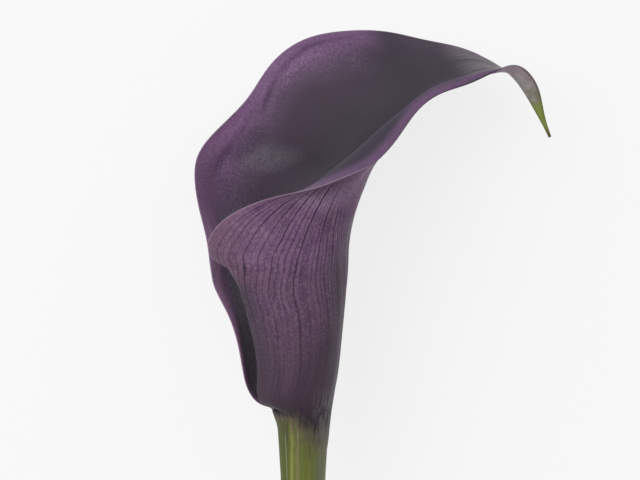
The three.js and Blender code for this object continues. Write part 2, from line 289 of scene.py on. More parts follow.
# Stations of the limb, from the tube's mouth to the root of the tail, with a point for each rib.
LIMB = tuple(LimbStation(points) for points in (
    ((-25.6, 44.8, -1), (-22.5, 45.6, -8.4), (-15.5, 45.4, -16), (-0.9, 44.3, -18.2), (10.4, 42.9, -7.5),
     (11, 41.6, 6), (2.5, 40, 16.2), (-12.6, 40.6, 17.2), (-20.9, 42, 14.6), (-25, 43.7, 11.3)),
    ((-27.4, 52.4, -3), (-24.3, 52.7, -10.2), (-17, 52, -18), (-1, 50.3, -20), (10.8, 48.3, -8.5),
     (11.8, 46.4, 6), (5.7, 44.1, 15.2), (-9.1, 44.3, 17.9), (-18.1, 47, 16.4), (-22.7, 49.9, 14)),
    ((-29.4, 60.9, -8), (-25.8, 60.6, -14.5), (-17, 58.6, -19.8), (-0.4, 56.2, -21.2), (11.8, 53.6, -10.5),
     (12.9, 51.3, 5), (8.7, 48.3, 14), (-3.3, 49.1, 18.4), (-12.2, 52.2, 18.3), (-16.2, 54.5, 18)),
    ((-28.9, 69.4, -14.5), (-25, 68.2, -18.5), (-15.6, 64.8, -21.3), (0.7, 61.4, -22), (13.2, 58.5, -12.5),
     (14.4, 56.2, 4), (11.5, 52.9, 12.5), (2.2, 53.8, 18), (-4.6, 56.9, 19.3), (-7.5, 57.6, 20.6)),
    ((-23.8, 77.1, -21), (-20.6, 75.1, -22.5), (-12.2, 70.4, -22.5), (3.2, 66.5, -22.2), (15, 62.9, -13),
     (16, 60.5, 3), (13.3, 58.2, 11), (7.4, 59.2, 15.5), (2.2, 60.4, 18.1), (2.4, 59.8, 20.4)),
    ((-16.2, 85.2, -26), (-13.8, 82.5, -25), (-6.3, 77.1, -23.5), (7.6, 72, -21.5), (17.2, 68.4, -13.5),
     (18.5, 66.1, 0), (15.9, 64.1, 8.5), (12.3, 64.3, 12.3), (9, 65.4, 15.4), (11.4, 63.1, 18.5)),
    ((-9.4, 95.3, -29.3), (-6.4, 91.5, -26.9), (1, 84.1, -24), (13.2, 77.8, -20.5), (21.9, 73, -12),
     (22.2, 71, -1), (20.5, 69.5, 5), (17.8, 69.7, 8.4), (15.4, 70.5, 11.5), (18.9, 66.9, 14.6)),
    ((0.2, 102.5, -29.2), (2.3, 97.9, -26.7), (8.5, 89.9, -23.5), (19.3, 82.2, -19), (25.4, 76.5, -11),
     (25.7, 75.1, -3), (24.7, 74.2, 2.6), (22.8, 74.5, 5.6), (21.2, 75.9, 8.3), (24.8, 73.1, 10.9)),
    ((13, 105.1, -29), (13.8, 101, -26.3), (18, 93.5, -23), (25.6, 86.2, -17.5), (29.5, 81.5, -10.5),
     (29.2, 80.5, -4.5), (28.8, 79.9, -0.6), (28.2, 80.3, 2.3), (27.6, 81.5, 4.3), (29.8, 80.1, 5.8)),
    ((27, 104, -28.9), (27.2, 100.6, -25.6), (29.3, 95.3, -20.8), (33.3, 90.5, -15.5), (35.8, 87.5, -10.5),
     (36.1, 86.6, -6.2), (35.7, 86.1, -3.1), (35, 86.2, -0.6), (34.7, 86.9, 1.3), (36.4, 85.6, 2.6)),
    ((38.7, 101, -22), (38.9, 98.8, -20), (40.4, 95.8, -16.8), (42.5, 93.1, -13.2), (44, 91.2, -10),
     (44.5, 90.1, -7.2), (44.2, 89.5, -5), (43.7, 89.6, -2.8), (43.4, 90.2, -1.1), (44.7, 88.7, 0)),
    ((47.7, 97.7, -15), (48.2, 96.9, -14.8), (49.1, 95.4, -13.6), (50, 94.1, -12), (50.5, 93, -9.8),
     (50.7, 92.1, -7.7), (50.6, 91.9, -6), (50.3, 91.9, -4.6), (50.1, 92.2, -3.5), (50.6, 91.5, -2.7)),
))

# Stations of the tail, out to its tip.
TAIL = (
    TailStation(54.0, 93.5, -8.2, 3, 4.2, 0.9, 84),
    TailStation(57.5, 92.6, -7.8, -22, 2.7, 0.6, 120),
    TailStation(61.7, 88.2, -7.4, -54, 2.1, 0.5, 153),
    TailStation(64.0, 82.8, -7.2, -67, 1.2, 0.3, 165),
    TailStation(65.7, 78.3, -7.2, -66, 0.5, 0.1, 170),
    TailStation(67.3, 74.5, -7.4, -64, 0.2, 0, 170),
)

# Distance below the foot, and the stem's radius there.
STEM_PROFILE = ((0, 7.8), (2.2, 7.4), (5, 7.0), (10, 6.5), (18, 6.05), (40, 5.8), (140, 5.5))
STEM_LENGTH = 140.0
STEM_DROP = 24.65
# Height and slope of the slanting seat on the stem's top, and the depth at which its slant has faded.
SEAT_HEIGHT = -0.25
SEAT_SLOPE = -0.1
SEAT_FADE = 9.0
# How far down the stem the spathe's collar reaches.
COLLAR_DEPTH = 11.0


def stem_radius(depth: np.ndarray | float) -> np.ndarray:
    """Returns the stem's radius at a distance below the spathe's foot."""
    places, radii = zip(*STEM_PROFILE)
    return np.interp(depth, places, radii)


def stem_drop(depth: np.ndarray | float) -> np.ndarray:
    """Returns how far the stem's middle has bent down at a distance below the spathe's foot."""
    return STEM_DROP * (np.asarray(depth, float) / STEM_LENGTH) ** 2


class Field:
    """A value in a node tree. The signs and methods on it add the nodes that work it out."""

    def __init__(self, bench: "Bench", socket: Socket) -> None:
        """Keeps the socket that gives the value, and the bench of its tree."""
        self.bench, self.socket = bench, socket

    def __add__(self, other: object) -> "Field":
        """Adds a field or a number."""
        return self.bench.math("ADD", self, other)

    def __sub__(self, other: object) -> "Field":
        """Takes away a field or a number."""
        return self.bench.math("SUBTRACT", self, other)

    def __rsub__(self, other: float) -> "Field":
        """Takes the field away from a number."""
        return self.bench.math("SUBTRACT", other, self)

    def __mul__(self, other: object) -> "Field":
        """Multiplies by a field or a number."""
        return self.bench.math("MULTIPLY", self, other)

    def __truediv__(self, other: object) -> "Field":
        """Divides by a field or a number."""
        return self.bench.math("DIVIDE", self, other)

    def __rtruediv__(self, other: float) -> "Field":
        """Divides a number by the field."""
        return self.bench.math("DIVIDE", other, self)

    def __abs__(self) -> "Field":
        """Drops the sign."""
        return self.bench.math("ABSOLUTE", self)

    def rise(self, low: object, high: object) -> "Field":
        """Rises smoothly from 0 where the field is at low to 1 where it is at high."""
        return self.bench.add("ShaderNodeMapRange", (self, low, high, 0.0, 1.0),
                              interpolation_type="SMOOTHSTEP")

    def within(self, reach: Reach) -> "Field":
        """Makes a mask: two numbers rise, four rise and fall back, and none leave the field as it is.

        Args:
            reach: Where the field starts and ends to rise, and where it falls back.

        Returns:
            The mask, from 0 to 1.
        """
        if len(reach) == 4:
            return self.rise(*reach[:2]) * self.rise(reach[3], reach[2])
        return self.rise(*reach) if reach else self


class Bench:
    """Adds and joins the nodes of one node tree."""

    def __init__(self, tree: bpy.types.NodeTree) -> None:
        """Works on the tree given."""
        self.tree = tree

    def feed(self, socket: Socket, value: object) -> None:
        """Joins a socket to a field, or sets its own value.

        Args:
            socket: An input of one of the tree's nodes.
            value: The field, or a number, colour or data block.
        """
        if isinstance(value, Field):
            self.tree.links.new(value.socket, socket)
        else:
            socket.default_value = (*value, 1.0) if socket.type == "RGBA" else value

    def add(self, kind: str, given: dict | Sequence = (), output: int | str = 0, **settings: object) -> Field:
        """Adds a node.

        Args:
            kind: The node's type.
            given: What its inputs get, in order or by name or number.
            output: Name or number of the output that is asked for.
            settings: The node's own settings.

        Returns:
            That output.
        """
        node = self.tree.nodes.new(kind)
        for name, value in settings.items():
            setattr(node, name, value)
        for name, value in given.items() if isinstance(given, dict) else enumerate(given):
            self.feed(node.inputs[name], value)
        return Field(self, node.outputs[output])

    def math(self, operation: str, *values: object) -> Field:
        """Adds a Math node on fields or numbers."""
        return self.add("ShaderNodeMath", values, operation=operation)

    def larger(self, first: object, second: object) -> Field:
        """Takes the larger of two."""
        return self.math("MAXIMUM", first, second)

    def mix(self, share: object, first: object, second: object) -> Field:
        """Mixes two colours, with a share from 0 to 1 of the second."""
        return self.add("ShaderNodeMix", {0: share, 6: first, 7: second}, 2, data_type="RGBA")

    def ramp(self, value: Field, stops: Sequence[tuple[float, Colour]]) -> Field:
        """Turns a value into a colour by stops from 0 to 1.

        Args:
            value: The value.
            stops: Pairs of place and colour, in order.

        Returns:
            The colour.
        """
        colour = self.add("ShaderNodeValToRGB", (value,))
        elements = colour.socket.node.color_ramp.elements
        while len(elements) < len(stops):
            elements.new(1.0)
        for element, (place, tone) in zip(elements, stops):
            element.position = place
            element.color = (*tone, 1.0)
        return colour

    def noise(self, place: Field, scale: object, detail: float = 2.0, roughness: float = 0.5) -> Field:
        """Adds a noise texture and returns its value."""
        return self.add("ShaderNodeTexNoise", {
            "Vector": place, "Scale": scale, "Detail": detail, "Roughness": roughness})

    def here(self) -> Field:
        """Returns the object coordinates, in metres."""
        return self.add("ShaderNodeTexCoord", output="Object")

    def parts(self, vector: Field) -> list[Field]:
        """Splits a vector into its three numbers."""
        node = self.add("ShaderNodeSeparateXYZ", (vector,)).socket.node
        return [Field(self, socket) for socket in node.outputs]

    def stored(self, name: str) -> list[Field]:
        """Returns the three numbers of a vector that is stored on the mesh."""
        return self.parts(self.add("ShaderNodeAttribute", output="Vector", attribute_name=name))

    def vector(self, x: object, y: object, z: object) -> Field:
        """Joins three numbers into a vector."""
        return self.add("ShaderNodeCombineXYZ", (x, y, z))

    def shared(self, group: bpy.types.NodeTree, **values: object) -> Field:
        """Places a shared node group and feeds its inputs by name."""
        return self.add("ShaderNodeGroup", values, node_tree=group)


@dataclass
class Coat:
    """The colour of a skin so far, and the measures that say where the next colour goes."""

    bench: Bench
    colour: object
    measures: dict[str, Field]

    def over(self, colour: object) -> "Coat":
        """Starts from another colour with the same measures."""
        return Coat(self.bench, colour, self.measures)

    def lay(self, colour: object, share: object = 1.0, **where: Reach) -> None:
        """Lays a colour on the skin.

        Args:
            colour: The colour.
            share: How much it covers, from 0 to 1, as a number or a mask.
            where: The reach of each measure that bounds it, by the measure's name.
        """
        for name, reach in where.items():
            mask = self.measures[name].within(reach)
            share = mask if share == 1.0 else mask * share
        self.colour = self.bench.mix(share, self.colour, colour)


class Skin(Bench):
    """A bench on a new material, with what stays the same all over it set on its shader."""

    def __init__(self, name: str, plain: dict[str, object]) -> None:
        """Starts the material.

        Args:
            name: Name of the material.
            plain: Values by the names of the shader's inputs.
        """
        self.material = bpy.data.materials.new(name)
        self.material.use_nodes = True
        super().__init__(self.material.node_tree)
        self.inputs = self.tree.nodes["Principled BSDF"].inputs
        for label, value in plain.items():
            self.feed(self.inputs[label], value)

    def finish(self, colour: Field, roughness: Field, height: Field, depth: float,
               strength: float) -> bpy.types.Material:
        """Feeds the shader.

        Args:
            colour: The base colour.
            roughness: The roughness.
            height: Height of the fine relief, from 0 to 1.
            depth: Real depth of the relief, in millimetres.
            strength: How much of the relief is used, from 0 to 1.

        Returns:
            The finished material.
        """
        self.feed(self.inputs["Base Color"], colour)
        self.feed(self.inputs["Roughness"], roughness)
        self.feed(self.inputs["Normal"], self.add("ShaderNodeBump", {
            "Strength": strength, "Distance": depth * METRE, "Height": height}))
        return self.material


def foot_place(bench: Bench, place: Field) -> tuple[Field, Field]:
    """Returns how far right of the foot's middle and how far above it a place is, in millimetres."""
    x, y, _ = bench.parts(place)
    return x * PER_METRE - float(FOOT[0]), y * PER_METRE - float(FOOT[1])


class SharedEffects:
    """The shader node groups that several finishes use, built once."""

    def __init__(self) -> None:
        """Builds every group, those first that others use."""
        place = {"Vector": "Vector"}
        self.mottle = self.group(self.fine_mottle, **place, Patch="Float")
        self.specks = self.group(self.pale_specks, **place, Size="Float")
        self.streaks = self.group(self.lengthwise_streaks, **place, Width="Float", Length="Float")
        self.veins = self.group(self.vein_lines, Vein="Float", Pitch="Float", Width="Float")
        self.fade = self.group(self.foot_fade, **place)
        self.green = self.group(self.stalk_green, "Color", **place)
        self.skin = self.group(self.foot_skin, "Color", **place, Purple="Color")

    def group(self, recipe: Callable[..., Field], kind: str = "Float", **inputs: str) -> bpy.types.NodeTree:
        """Makes a node group.

        Args:
            recipe: The method that turns the group's inputs into its output, and gives it its name.
            kind: Kind of the output, a value or a colour.
            inputs: Kind of each input, by its name.

        Returns:
            The group.
        """
        group = bpy.data.node_groups.new(recipe.__name__, "ShaderNodeTree")
        for label, sort in inputs.items():
            group.interface.new_socket(label, in_out="INPUT", socket_type=f"NodeSocket{sort}")
        group.interface.new_socket("Result", in_out="OUTPUT", socket_type=f"NodeSocket{kind}")
        bench = Bench(group)
        entry = group.nodes.new("NodeGroupInput")
        result = recipe(bench, *(Field(bench, entry.outputs[label]) for label in inputs))
        bench.feed(group.nodes.new("NodeGroupOutput").inputs[0], result)
        return group

    def fine_mottle(self, bench: Bench, place: Field, patch: Field) -> Field:
        """Mottling of living skin: soft patches of one size with finer grain in them.

        Args:
            bench: Bench of the group.
            place: Object coordinates, in metres.
            patch: Size of a patch, in millimetres.

        Returns:
            The mottling, from 0 to 1.
        """
        scale = PER_METRE / patch
        both = bench.noise(place, scale, 3.0) * 0.55 + bench.noise(place, scale * 2.4) * 0.45
        return both.rise(0.37, 0.63)

    def pale_specks(self, bench: Bench, place: Field, size: Field) -> Field:
        """Small pale flecks that gather in loose clusters.

        Args:
            bench: Bench of the group.
            place: Object coordinates, in metres.
            size: Size of a fleck, in millimetres.

        Returns:
            The flecks, from 0 to 1.
        """
        scale = PER_METRE / size
        gathered = bench.noise(place, scale * 0.09).rise(0.42, 0.66) * 0.8 + 0.2
        return bench.noise(place, scale).rise(0.54, 0.72) * gathered

    def lengthwise_streaks(self, bench: Bench, place: Field, width: Field, length: Field) -> Field:
        """Streaks that run lengthwise: noise drawn out along the piece.

        Args:
            bench: Bench of the group.
            place: Object coordinates, in metres.
            width: Width of a streak, in millimetres.
            length: Length of a streak, in millimetres.

        Returns:
            The streaks, from 0 to 1.
        """
        across, along = PER_METRE / width, PER_METRE / length
        drawn_out = bench.add("ShaderNodeVectorMath", (place, bench.vector(across, along, across)),
                              operation="MULTIPLY")
        return bench.noise(drawn_out, 1.0, 3.0, 0.6).rise(0.3, 0.7)

    def vein_lines(self, bench: Bench, vein: Field, pitch: Field, width: Field) -> Field:
        """Thin lines half-way between whole vein numbers, of one real width wherever the veins crowd."""
        off = abs(bench.math("FRACT", vein) - 0.5) * pitch
        return off.rise(width, width * 0.3)

    def streaked(self, bench: Bench, place: Field, width: float, length: float) -> Field:
        """Places the lengthwise streaks at a width and length in millimetres."""
        return bench.shared(self.streaks, Vector=place, Width=width, Length=length)

    def foot_fade(self, bench: Bench, place: Field) -> Field:
        """Where the spathe's purple reaches down the stalk in ragged streaks, sharper on the left.

        Args:
            bench: Bench of the group.
            place: Object coordinates, in metres.

        Returns:
            The share of purple, from 0 to 1.
        """
        right, height = foot_place(bench, place)
        fine = self.streaked(bench, place, 0.45, 40.0)
        tongues = self.streaked(bench, place, 1.5, 60.0) * 2.6 + fine * 2.2
        turned = bench.larger(right, -9.0 - right)
        slant = bench.math("MINIMUM", turned, 3.0) * 0.7 + height
        lower = slant + tongues * (right.rise(-7.0, -4.5) * 0.6 + 0.4)
        softness = right.rise(-7.0, 0.0) * 2.8 + 1.6
        gradual = ((lower + 1.9) / softness).rise(-1.0, 1.0)
        return bench.larger(gradual, lower.rise(-14.0, -1.0) * fine.rise(0.5, 1.0) * 0.5)

    def stalk_green(self, bench: Bench, place: Field) -> Field:
        """Olive green of the stalk with yellow, brown and grey streaks along it, darker on its left with
        painted shade and greyed on its right with painted sheen.

        Args:
            bench: Bench of the group.
            place: Object coordinates, in metres.

        Returns:
            The colour.
        """
        coat = Coat(bench, tint(97, 108, 50), {
            "right": foot_place(bench, place)[0],
            "broad": self.streaked(bench, place, 3.0, 160.0),
            "middle": self.streaked(bench, place, 1.1, 90.0),
            "fine": self.streaked(bench, place, 0.4, 36.0),
        })
        coat.lay(tint(110, 114, 56), broad=())
        coat.lay(tint(122, 119, 64), 0.45, middle=(0.55, 1))
        coat.lay(tint(100, 90, 60), 0.35, middle=(0.35, 0))
        coat.lay(tint(112, 116, 74), 0.25, fine=(0.5, 1))
        coat.lay(tint(66, 70, 38), 0.2, fine=(0.45, 0))
        coat.lay(tint(152, 154, 84), 0.45, right=(-3.6, -3, -2.85, -2.3))
        coat.lay(tint(136, 124, 96), 0.5, right=(-2.2, -1.5, -1.4, -0.6))
        # Painted shade on the stalk's left, under the spathe's pouch.
        coat.lay(tint(76, 86, 36), 0.85, right=(-3.2, -4.2))
        # Painted sheen greying the stalk's right side.
        coat.lay(tint(116, 116, 102), 0.6, right=(1.5, 5.5))
        return coat.colour

    def foot_skin(self, bench: Bench, place: Field, purple: Field) -> Field:
        """Joins the purple above and the stalk's green, brownish between them, with painted shade just under
        the foot and painted sheen greying the right.

        Args:
            bench: Bench of the group.
            place: Object coordinates, in metres.
            purple: Colour above the foot.

        Returns:
            The colour.
        """
        right, height = foot_place(bench, place)
        coat = Coat(bench, bench.shared(self.green, Vector=place), {
            "right": right, "height": height, "above": bench.shared(self.fade, Vector=place),
            "lines": self.streaked(bench, place, 0.6, 40.0),
        })
        # Painted shade on the stem just under the spathe.
        coat.lay(tint(60, 54, 50), 0.4, height=(-16, -3), lines=(1, 0.2))
        coat.lay(purple, above=())
        coat.lay(tint(102, 88, 80), 0.4, above=(0, 0.4, 0.6, 0.95))
        # Painted sheen greying the right side round the foot.
        coat.lay(tint(112, 108, 108), 0.6, right=(1.5, 5), height=(-14, -2, 2, 8), lines=(0.2, 0.9))
        return coat.colour


@dataclass(frozen=True)
class SpatheFinish:
    """Purple skin of the spathe: mottled and veined outside, nearly black inside, violet by its margins.

    Its measures are the place across and along the leaf, the distance from the far and near margins and
    the height above the foot in millimetres, and noise of several kinds.
    """

    effects: SharedEffects
    outside: Colour = tint(120, 90, 118)
    outside_violet: Colour = tint(110, 78, 114)
    outside_low: Colour = tint(79, 60, 74)
    outside_dark: Colour = tint(54, 42, 56)
    # Pale flecks. The same colour is also laid as painted light on the right flank and under the lip.
    speck_and_painted_light: Colour = tint(150, 124, 152)
    reddish: Colour = tint(100, 72, 88)
    foot: Colour = tint(50, 40, 49)
    # Pale grey-blue of the painted sheen streaks on the right flank.
    right_flank_painted_sheen: Colour = tint(104, 104, 112)
    vein: Colour = tint(46, 30, 46)
    band: Colour = tint(112, 82, 117)
    # Lit copy of the band colour, painted as light on the lower left of the inner wall.
    painted_light_band: Colour = tint(142, 104, 145)
    # Painted highlight of the raised crest beside the crease.
    crest: Colour = tint(140, 108, 148)
    # Dark of the painted shade in the creases.
    fold: Colour = tint(54, 34, 60)
    # Grey of the painted sheen on the inner wall.
    painted_sheen: Colour = tint(110, 104, 114)
    inside: Colour = tint(90, 69, 93)
    shaded: Colour = tint(69, 54, 70)
    throat: Colour = tint(56, 51, 60)
    # Pale violet painted as light on the far margin's strip, which lies in shade low in the tube.
    far_strip_painted_light: Colour = tint(196, 152, 196)
    # Pale grey painted in the deep throat behind the gap, standing in for the light that reaches it.
    deep_throat_painted_light: Colour = tint(111, 110, 120)
    lip: Colour = tint(64, 57, 70)
    lip_edge: Colour = tint(104, 80, 109)
    # Grey of the painted sheen near the tip.
    tip_painted_sheen: Colour = tint(128, 122, 128)
    margin: Colour = tint(132, 110, 128)
    tail_violet: Colour = tint(146, 130, 140)
    tail_white: Colour = tint(148, 144, 143)
    tail_stripe: Colour = tint(98, 92, 94)
    tail_rim: Colour = tint(104, 78, 102)
    tail_green: Colour = tint(118, 130, 64)
    tail_olive: Colour = tint(94, 92, 56)
    tail_brown: Colour = tint(98, 84, 58)

    def vein_mask(self, bench: Bench, measures: dict[str, Field]) -> Field:
        """Draws the veins and the finer ones between them, each of its own strength.

        Args:
            bench: Bench of the material.
            measures: The finish's measures by name.

        Returns:
            The veins' strength, from 0 to 1.
        """
        here, pitch = measures["here"], measures["pitch"]
        wander = bench.noise(here, 75.0) * 0.32 - 0.16
        jagged = bench.noise(here, 900.0) * 0.14 - 0.07
        warped = measures["vein"] + wander + jagged
        strong = bench.shared(self.effects.veins, Vein=warped, Pitch=pitch, Width=0.3)
        faint = bench.shared(self.effects.veins, Vein=warped + 0.5, Pitch=pitch, Width=0.24)
        number = bench.math("FLOOR", warped)
        own = bench.vector(number * 3.7, measures["run"] * 0.045, measures["inner"] * 9.0)
        varied = bench.noise(own, 1.0).rise(0.35, 0.6)
        strength = varied * 0.3 + (bench.math("MODULO", number, 2.0) * 0.3 + 0.4)
        lines = bench.larger(strong * strength, faint * (varied * -0.3 + 0.58))
        return lines * pitch.rise(0.5, 1.5) * warped.rise(0.8, 1.9)

    def outer_colour(self, coat: Coat) -> Field:
        """Colours the face that shows on the tube.

        Args:
            coat: A coat of the plain outer colour.

        Returns:
            The colour.
        """
        bench, height, here = coat.bench, coat.measures["height"], coat.measures["here"]
        coat.lay(self.outside_violet, bench.noise(here, 330.0, 3.0).rise(0.35, 0.65))
        coat.lay(self.outside_low, 0.95, height=(50, 6))
        coat.lay(self.outside_dark, 0.42, streaks=(0.55, 0))
        # Darker down the midrib and the right of the tube: partly the midrib's own deep colour, partly
        # painted shade on the side turned away from the light.
        widened = abs(coat.measures["across"] - 0.5) - height.rise(26, 0) * 0.2
        darkest = height.within((62, 34, 22, 8)) * 0.4 + 0.38
        coat.lay(self.outside_dark, widened.rise(0.27, 0.15) * darkest)
        # Painted shade low on the right of the tube, in the throat's colour.
        coat.lay(self.throat, 0.6, across=(0.5, 0.56, 0.64, 0.72), height=(22, 6))
        # Painted sheen: pale grey-blue streaks down the right flank of the tube.
        coat.lay(self.right_flank_painted_sheen, 0.5, across=(0.52, 0.6, 0.63, 0.7), height=(40, 12), streaks=(0.3, 0.9))
        # Painted light on the right flank high up by the lip, in the pale speck colour.
        coat.lay(self.speck_and_painted_light, 0.3, across=(0.5, 0.56, 0.66, 0.76), height=(44, 58))
        # Painted light where the tube tucks under the lip and lies in shade.
        coat.lay(self.speck_and_painted_light, 0.6, near=(0.4, 3, 11, 18), along=(0.39, 0.42, 0.5, 0.54))
        coat.lay(self.reddish, 0.8, near=(16, 0.5), along=(0.2, 0.25, 0.3, 0.36))
        # Painted shade along the lower near margin.
        coat.lay(self.outside_dark, 0.92, near=(10, 0.5), along=(0.26, 0.21))
        coat.lay(self.outside_low, 0.42, mottle=(0.55, 0))
        coat.lay(self.speck_and_painted_light, 0.22, mottle=(0.5, 1), height=(-4, 30))
        coat.lay(self.speck_and_painted_light, bench.shared(self.effects.specks, Vector=here, Size=0.9) * 0.4, height=(8, 40))
        coat.lay(self.vein, height.rise(4, 44) * 0.78 + 0.12, veins=())
        coat.lay(self.foot, height=(6, -3))
        return coat.colour

    def inner_colour(self, coat: Coat) -> Field:
        """Colours the face that shows in the mouth, from the margin's band to the throat.

        Args:
            coat: A coat whose measures are read.

        Returns:
            The colour.
        """
        bench, here = coat.bench, coat.measures["here"]
        along, far, height, mottle, fold, crest, vein, run = (coat.measures[name] for name in (
            "along", "far", "height", "mottle", "fold", "crest", "vein", "run"))
        wander = bench.noise(here, 60.0) * 6.0 - 3.0
        # Low down, the band's lighter colours reach further in: painted light on the lower wall, which faces
        # away from the key.
        wide = along.rise(0.47, 0.4) * -7.0 + (far + wander)
        wide = along.within((0.56, 0.6, 0.64, 0.68)) * -3.0 + wide
        coat = coat.over(bench.ramp(wide / 36.0, (
            (0.0, self.band), (0.1, self.band), (0.24, self.inside), (0.42, self.shaded),
            (0.85, self.throat))))
        # Painted light on the lower left of the inner wall, reaching further in lower down.
        painted_light_reach = along.rise(0.4, 0.34) * 7.0 + 9.0
        coat.lay(self.painted_light_band, far.rise(painted_light_reach, 1.0) * 0.88, along=(0.5, 0.42))
        inward = along.rise(0.58, 0.7) * far.rise(0.5, 10) * 0.9
        coat.lay(self.throat, bench.larger(inward, along.rise(0.655, 0.7) * 0.9))
        # Painted sheen: a soft grey reflection patch on the lower inner wall, with a faint painted lightening
        # over the lower throat.
        patch = far.within((7, 14, 18, 27)) * along.within((0.39, 0.43, 0.445, 0.485))
        coat.lay(self.painted_sheen, bench.larger(patch * (mottle * 0.2 + 0.42), along.rise(0.47, 0.4) * 0.12))
        # Painted shade: a broad dark zone along the lower crease.
        coat.lay(self.fold, 0.4, far=(4.5, 7.5, 10.5, 14), along=(0.4, 0.425, 0.46, 0.5))
        coat.lay(self.lip, near=(9, 5), along=(0.36, 0.44))
        coat.lay(self.lip_edge, near=(3.6, 1), along=(0.36, 0.44))
        reach = height.rise(14, 36) * 7.5 + 2.4
        # Painted light in the deep throat behind the gap, which lies in shade.
        coat.lay(self.deep_throat_painted_light, far.rise(reach * 0.6, reach * 1.3), along=(0.36, 0.26))
        # Painted light on the far margin's strip low in the tube, which lies in shade.
        coat.lay(self.far_strip_painted_light, far.rise(reach, 0.6), along=(0.34, 0.26), height=(4, 18))
        # Painted sheen: grey over the limb near the tip.
        coat.lay(self.tip_painted_sheen, 0.9, along=(0.76, 0.83), near=(0.8, 3))
        coat.lay(self.throat, 0.35, mottle=(0.5, 0))
        coat.lay(self.speck_and_painted_light, wide.rise(16, 4) * 0.2, mottle=(0.5, 1), along=(0.7, 0.62))
        # Painted highlight on the raised crest beside the upper crease.
        coat.lay(self.crest, crest * 0.45, mottle=(0.1, 0.9), along=(0.53, 0.57, 0.59, 0.65))
        # Painted shade along the creases, broken here and there.
        uneven = bench.noise(here, 150.0, 4.0).rise(0.3, 0.55) * 0.7 + 0.3
        coat.lay(self.fold, fold * uneven * 0.68)
        lines = bench.noise(bench.vector(vein * 0.6, run * 0.02, 3.0), 1.0).rise(0.52, 0.38)
        coat.lay(self.throat, lines * 0.85, along=(0.64, 0.82))
        return coat.colour

    def paint_tail(self, coat: Coat) -> None:
        """Fades a coat to the grey, green and brown of the tail's end.

        Args:
            coat: The coat of both faces.
        """
        bench, here = coat.bench, coat.measures["here"]
        along, inner, far, near, vein, run = (coat.measures[name] for name in (
            "along", "inner", "far", "near", "vein", "run"))
        coat.measures["sooner"] = inner * 0.035 + along
        turned_pale = (0.873, 0.893)
        ragged = bench.noise(here, 420.0) * 1.6 - 0.8
        coat.lay(self.tail_violet, 1.0 - inner, along=(0.835, 0.86))
        inward = near + ragged - (along.within((0.865, 0.89, 0.9, 0.92)) * 1.3 + 0.5)
        coat.lay(self.tail_white, inward.rise(-0.6, 0.9) * 0.95, sooner=turned_pale)
        stripes = bench.noise(bench.vector(vein * 0.3, run * 0.03, 7.0), 1.0).rise(0.5, 0.4)
        coat.lay(self.tail_stripe, stripes * 0.4, sooner=turned_pale)
        coat.lay(self.tail_rim, 0.8, near=(0.8, 0.1), sooner=turned_pale)
        blotch = bench.noise(here, 520.0, 3.0).rise(0.4, 0.6) * 0.8 + 0.2
        coat.lay(self.tail_olive, blotch * 0.6, along=(0.885, 0.92, 0.95, 0.98))
        coat.lay(self.tail_green, (ragged * 0.012 + along).rise(0.928, 0.95))
        edges = bench.larger(far.rise(0.45, 0.15), near.rise(0.5, 0.15))
        coat.lay(self.tail_olive, edges * 0.55, along=(0.87, 0.91, 0.96, 0.99))
        coat.lay(self.tail_brown, along=(0.978, 0.995))

    def material(self) -> bpy.types.Material:
        """Builds the material.

        Returns:
            The material.
        """
        bench = Skin("spathe_skin", {
            "Specular IOR Level": 0.22, "Sheen Weight": 0.03, "Sheen Roughness": 0.5})
        measures = {}
        for kept, labels in (("place", ("across", "along", "inner")), ("edge", ("far", "near", "height")),
                             ("flow", ("vein", "run", "pitch")), ("fold", ("fold", "crest", "flat"))):
            measures.update(zip(labels, bench.stored(kept)))
        measures["here"] = here = bench.here()
        measures["mottle"] = mottle = bench.shared(self.effects.mottle, Vector=here, Patch=0.7)
        measures["veins"] = veins = self.vein_mask(bench, measures)
        flowing = bench.vector(measures["vein"] * 2.6, measures["run"] * 0.035, measures["inner"] * 5.0)
        measures["streaks"] = bench.noise(flowing, 1.0, 3.0, 0.6).rise(0.35, 0.65)
        coat = Coat(bench, self.outside, measures)
        outer, inner = self.outer_colour(coat), self.inner_colour(coat)
        coat = coat.over(bench.mix(measures["inner"], outer, inner))
        near_rim = measures["near"].rise(0.4, 0.1) * measures["along"].within((0.24, 0.28, 0.5, 0.58)) * 0.8
        far_rim = measures["far"].rise(0.5, 0.1) * measures["height"].rise(20, 40) * 0.3
        coat.lay(self.margin, bench.larger(near_rim, far_rim))
        self.paint_tail(coat)
        colour = bench.shared(self.effects.skin, Vector=here, Purple=coat.colour)
        return bench.finish(colour, mottle * 0.1 + 0.5, mottle * 0.4 - veins * 0.6, 0.1, 0.5)


@dataclass(frozen=True)
class StemFinish:
    """Skin of the stem: olive green streaked lengthwise, purple where the spathe begins."""

    effects: SharedEffects
    purple: Colour = tint(50, 40, 49)
    lightening: Colour = tint(148, 148, 124)
    lightened: float = 0.0

    def material(self) -> bpy.types.Material:
        """Builds the material.

        Returns:
            The material.
        """
        bench = Skin("stem_skin", {"Specular IOR Level": 0.22})
        here = bench.here()
        fine = self.effects.streaked(bench, here, 0.5, 14.0)
        colour = bench.shared(self.effects.skin, Vector=here, Purple=self.purple)
        if self.lightened:
            colour = bench.mix(self.lightened, colour, self.lightening)
        return bench.finish(colour, fine * 0.1 + 0.5, fine, 0.06, 0.4)


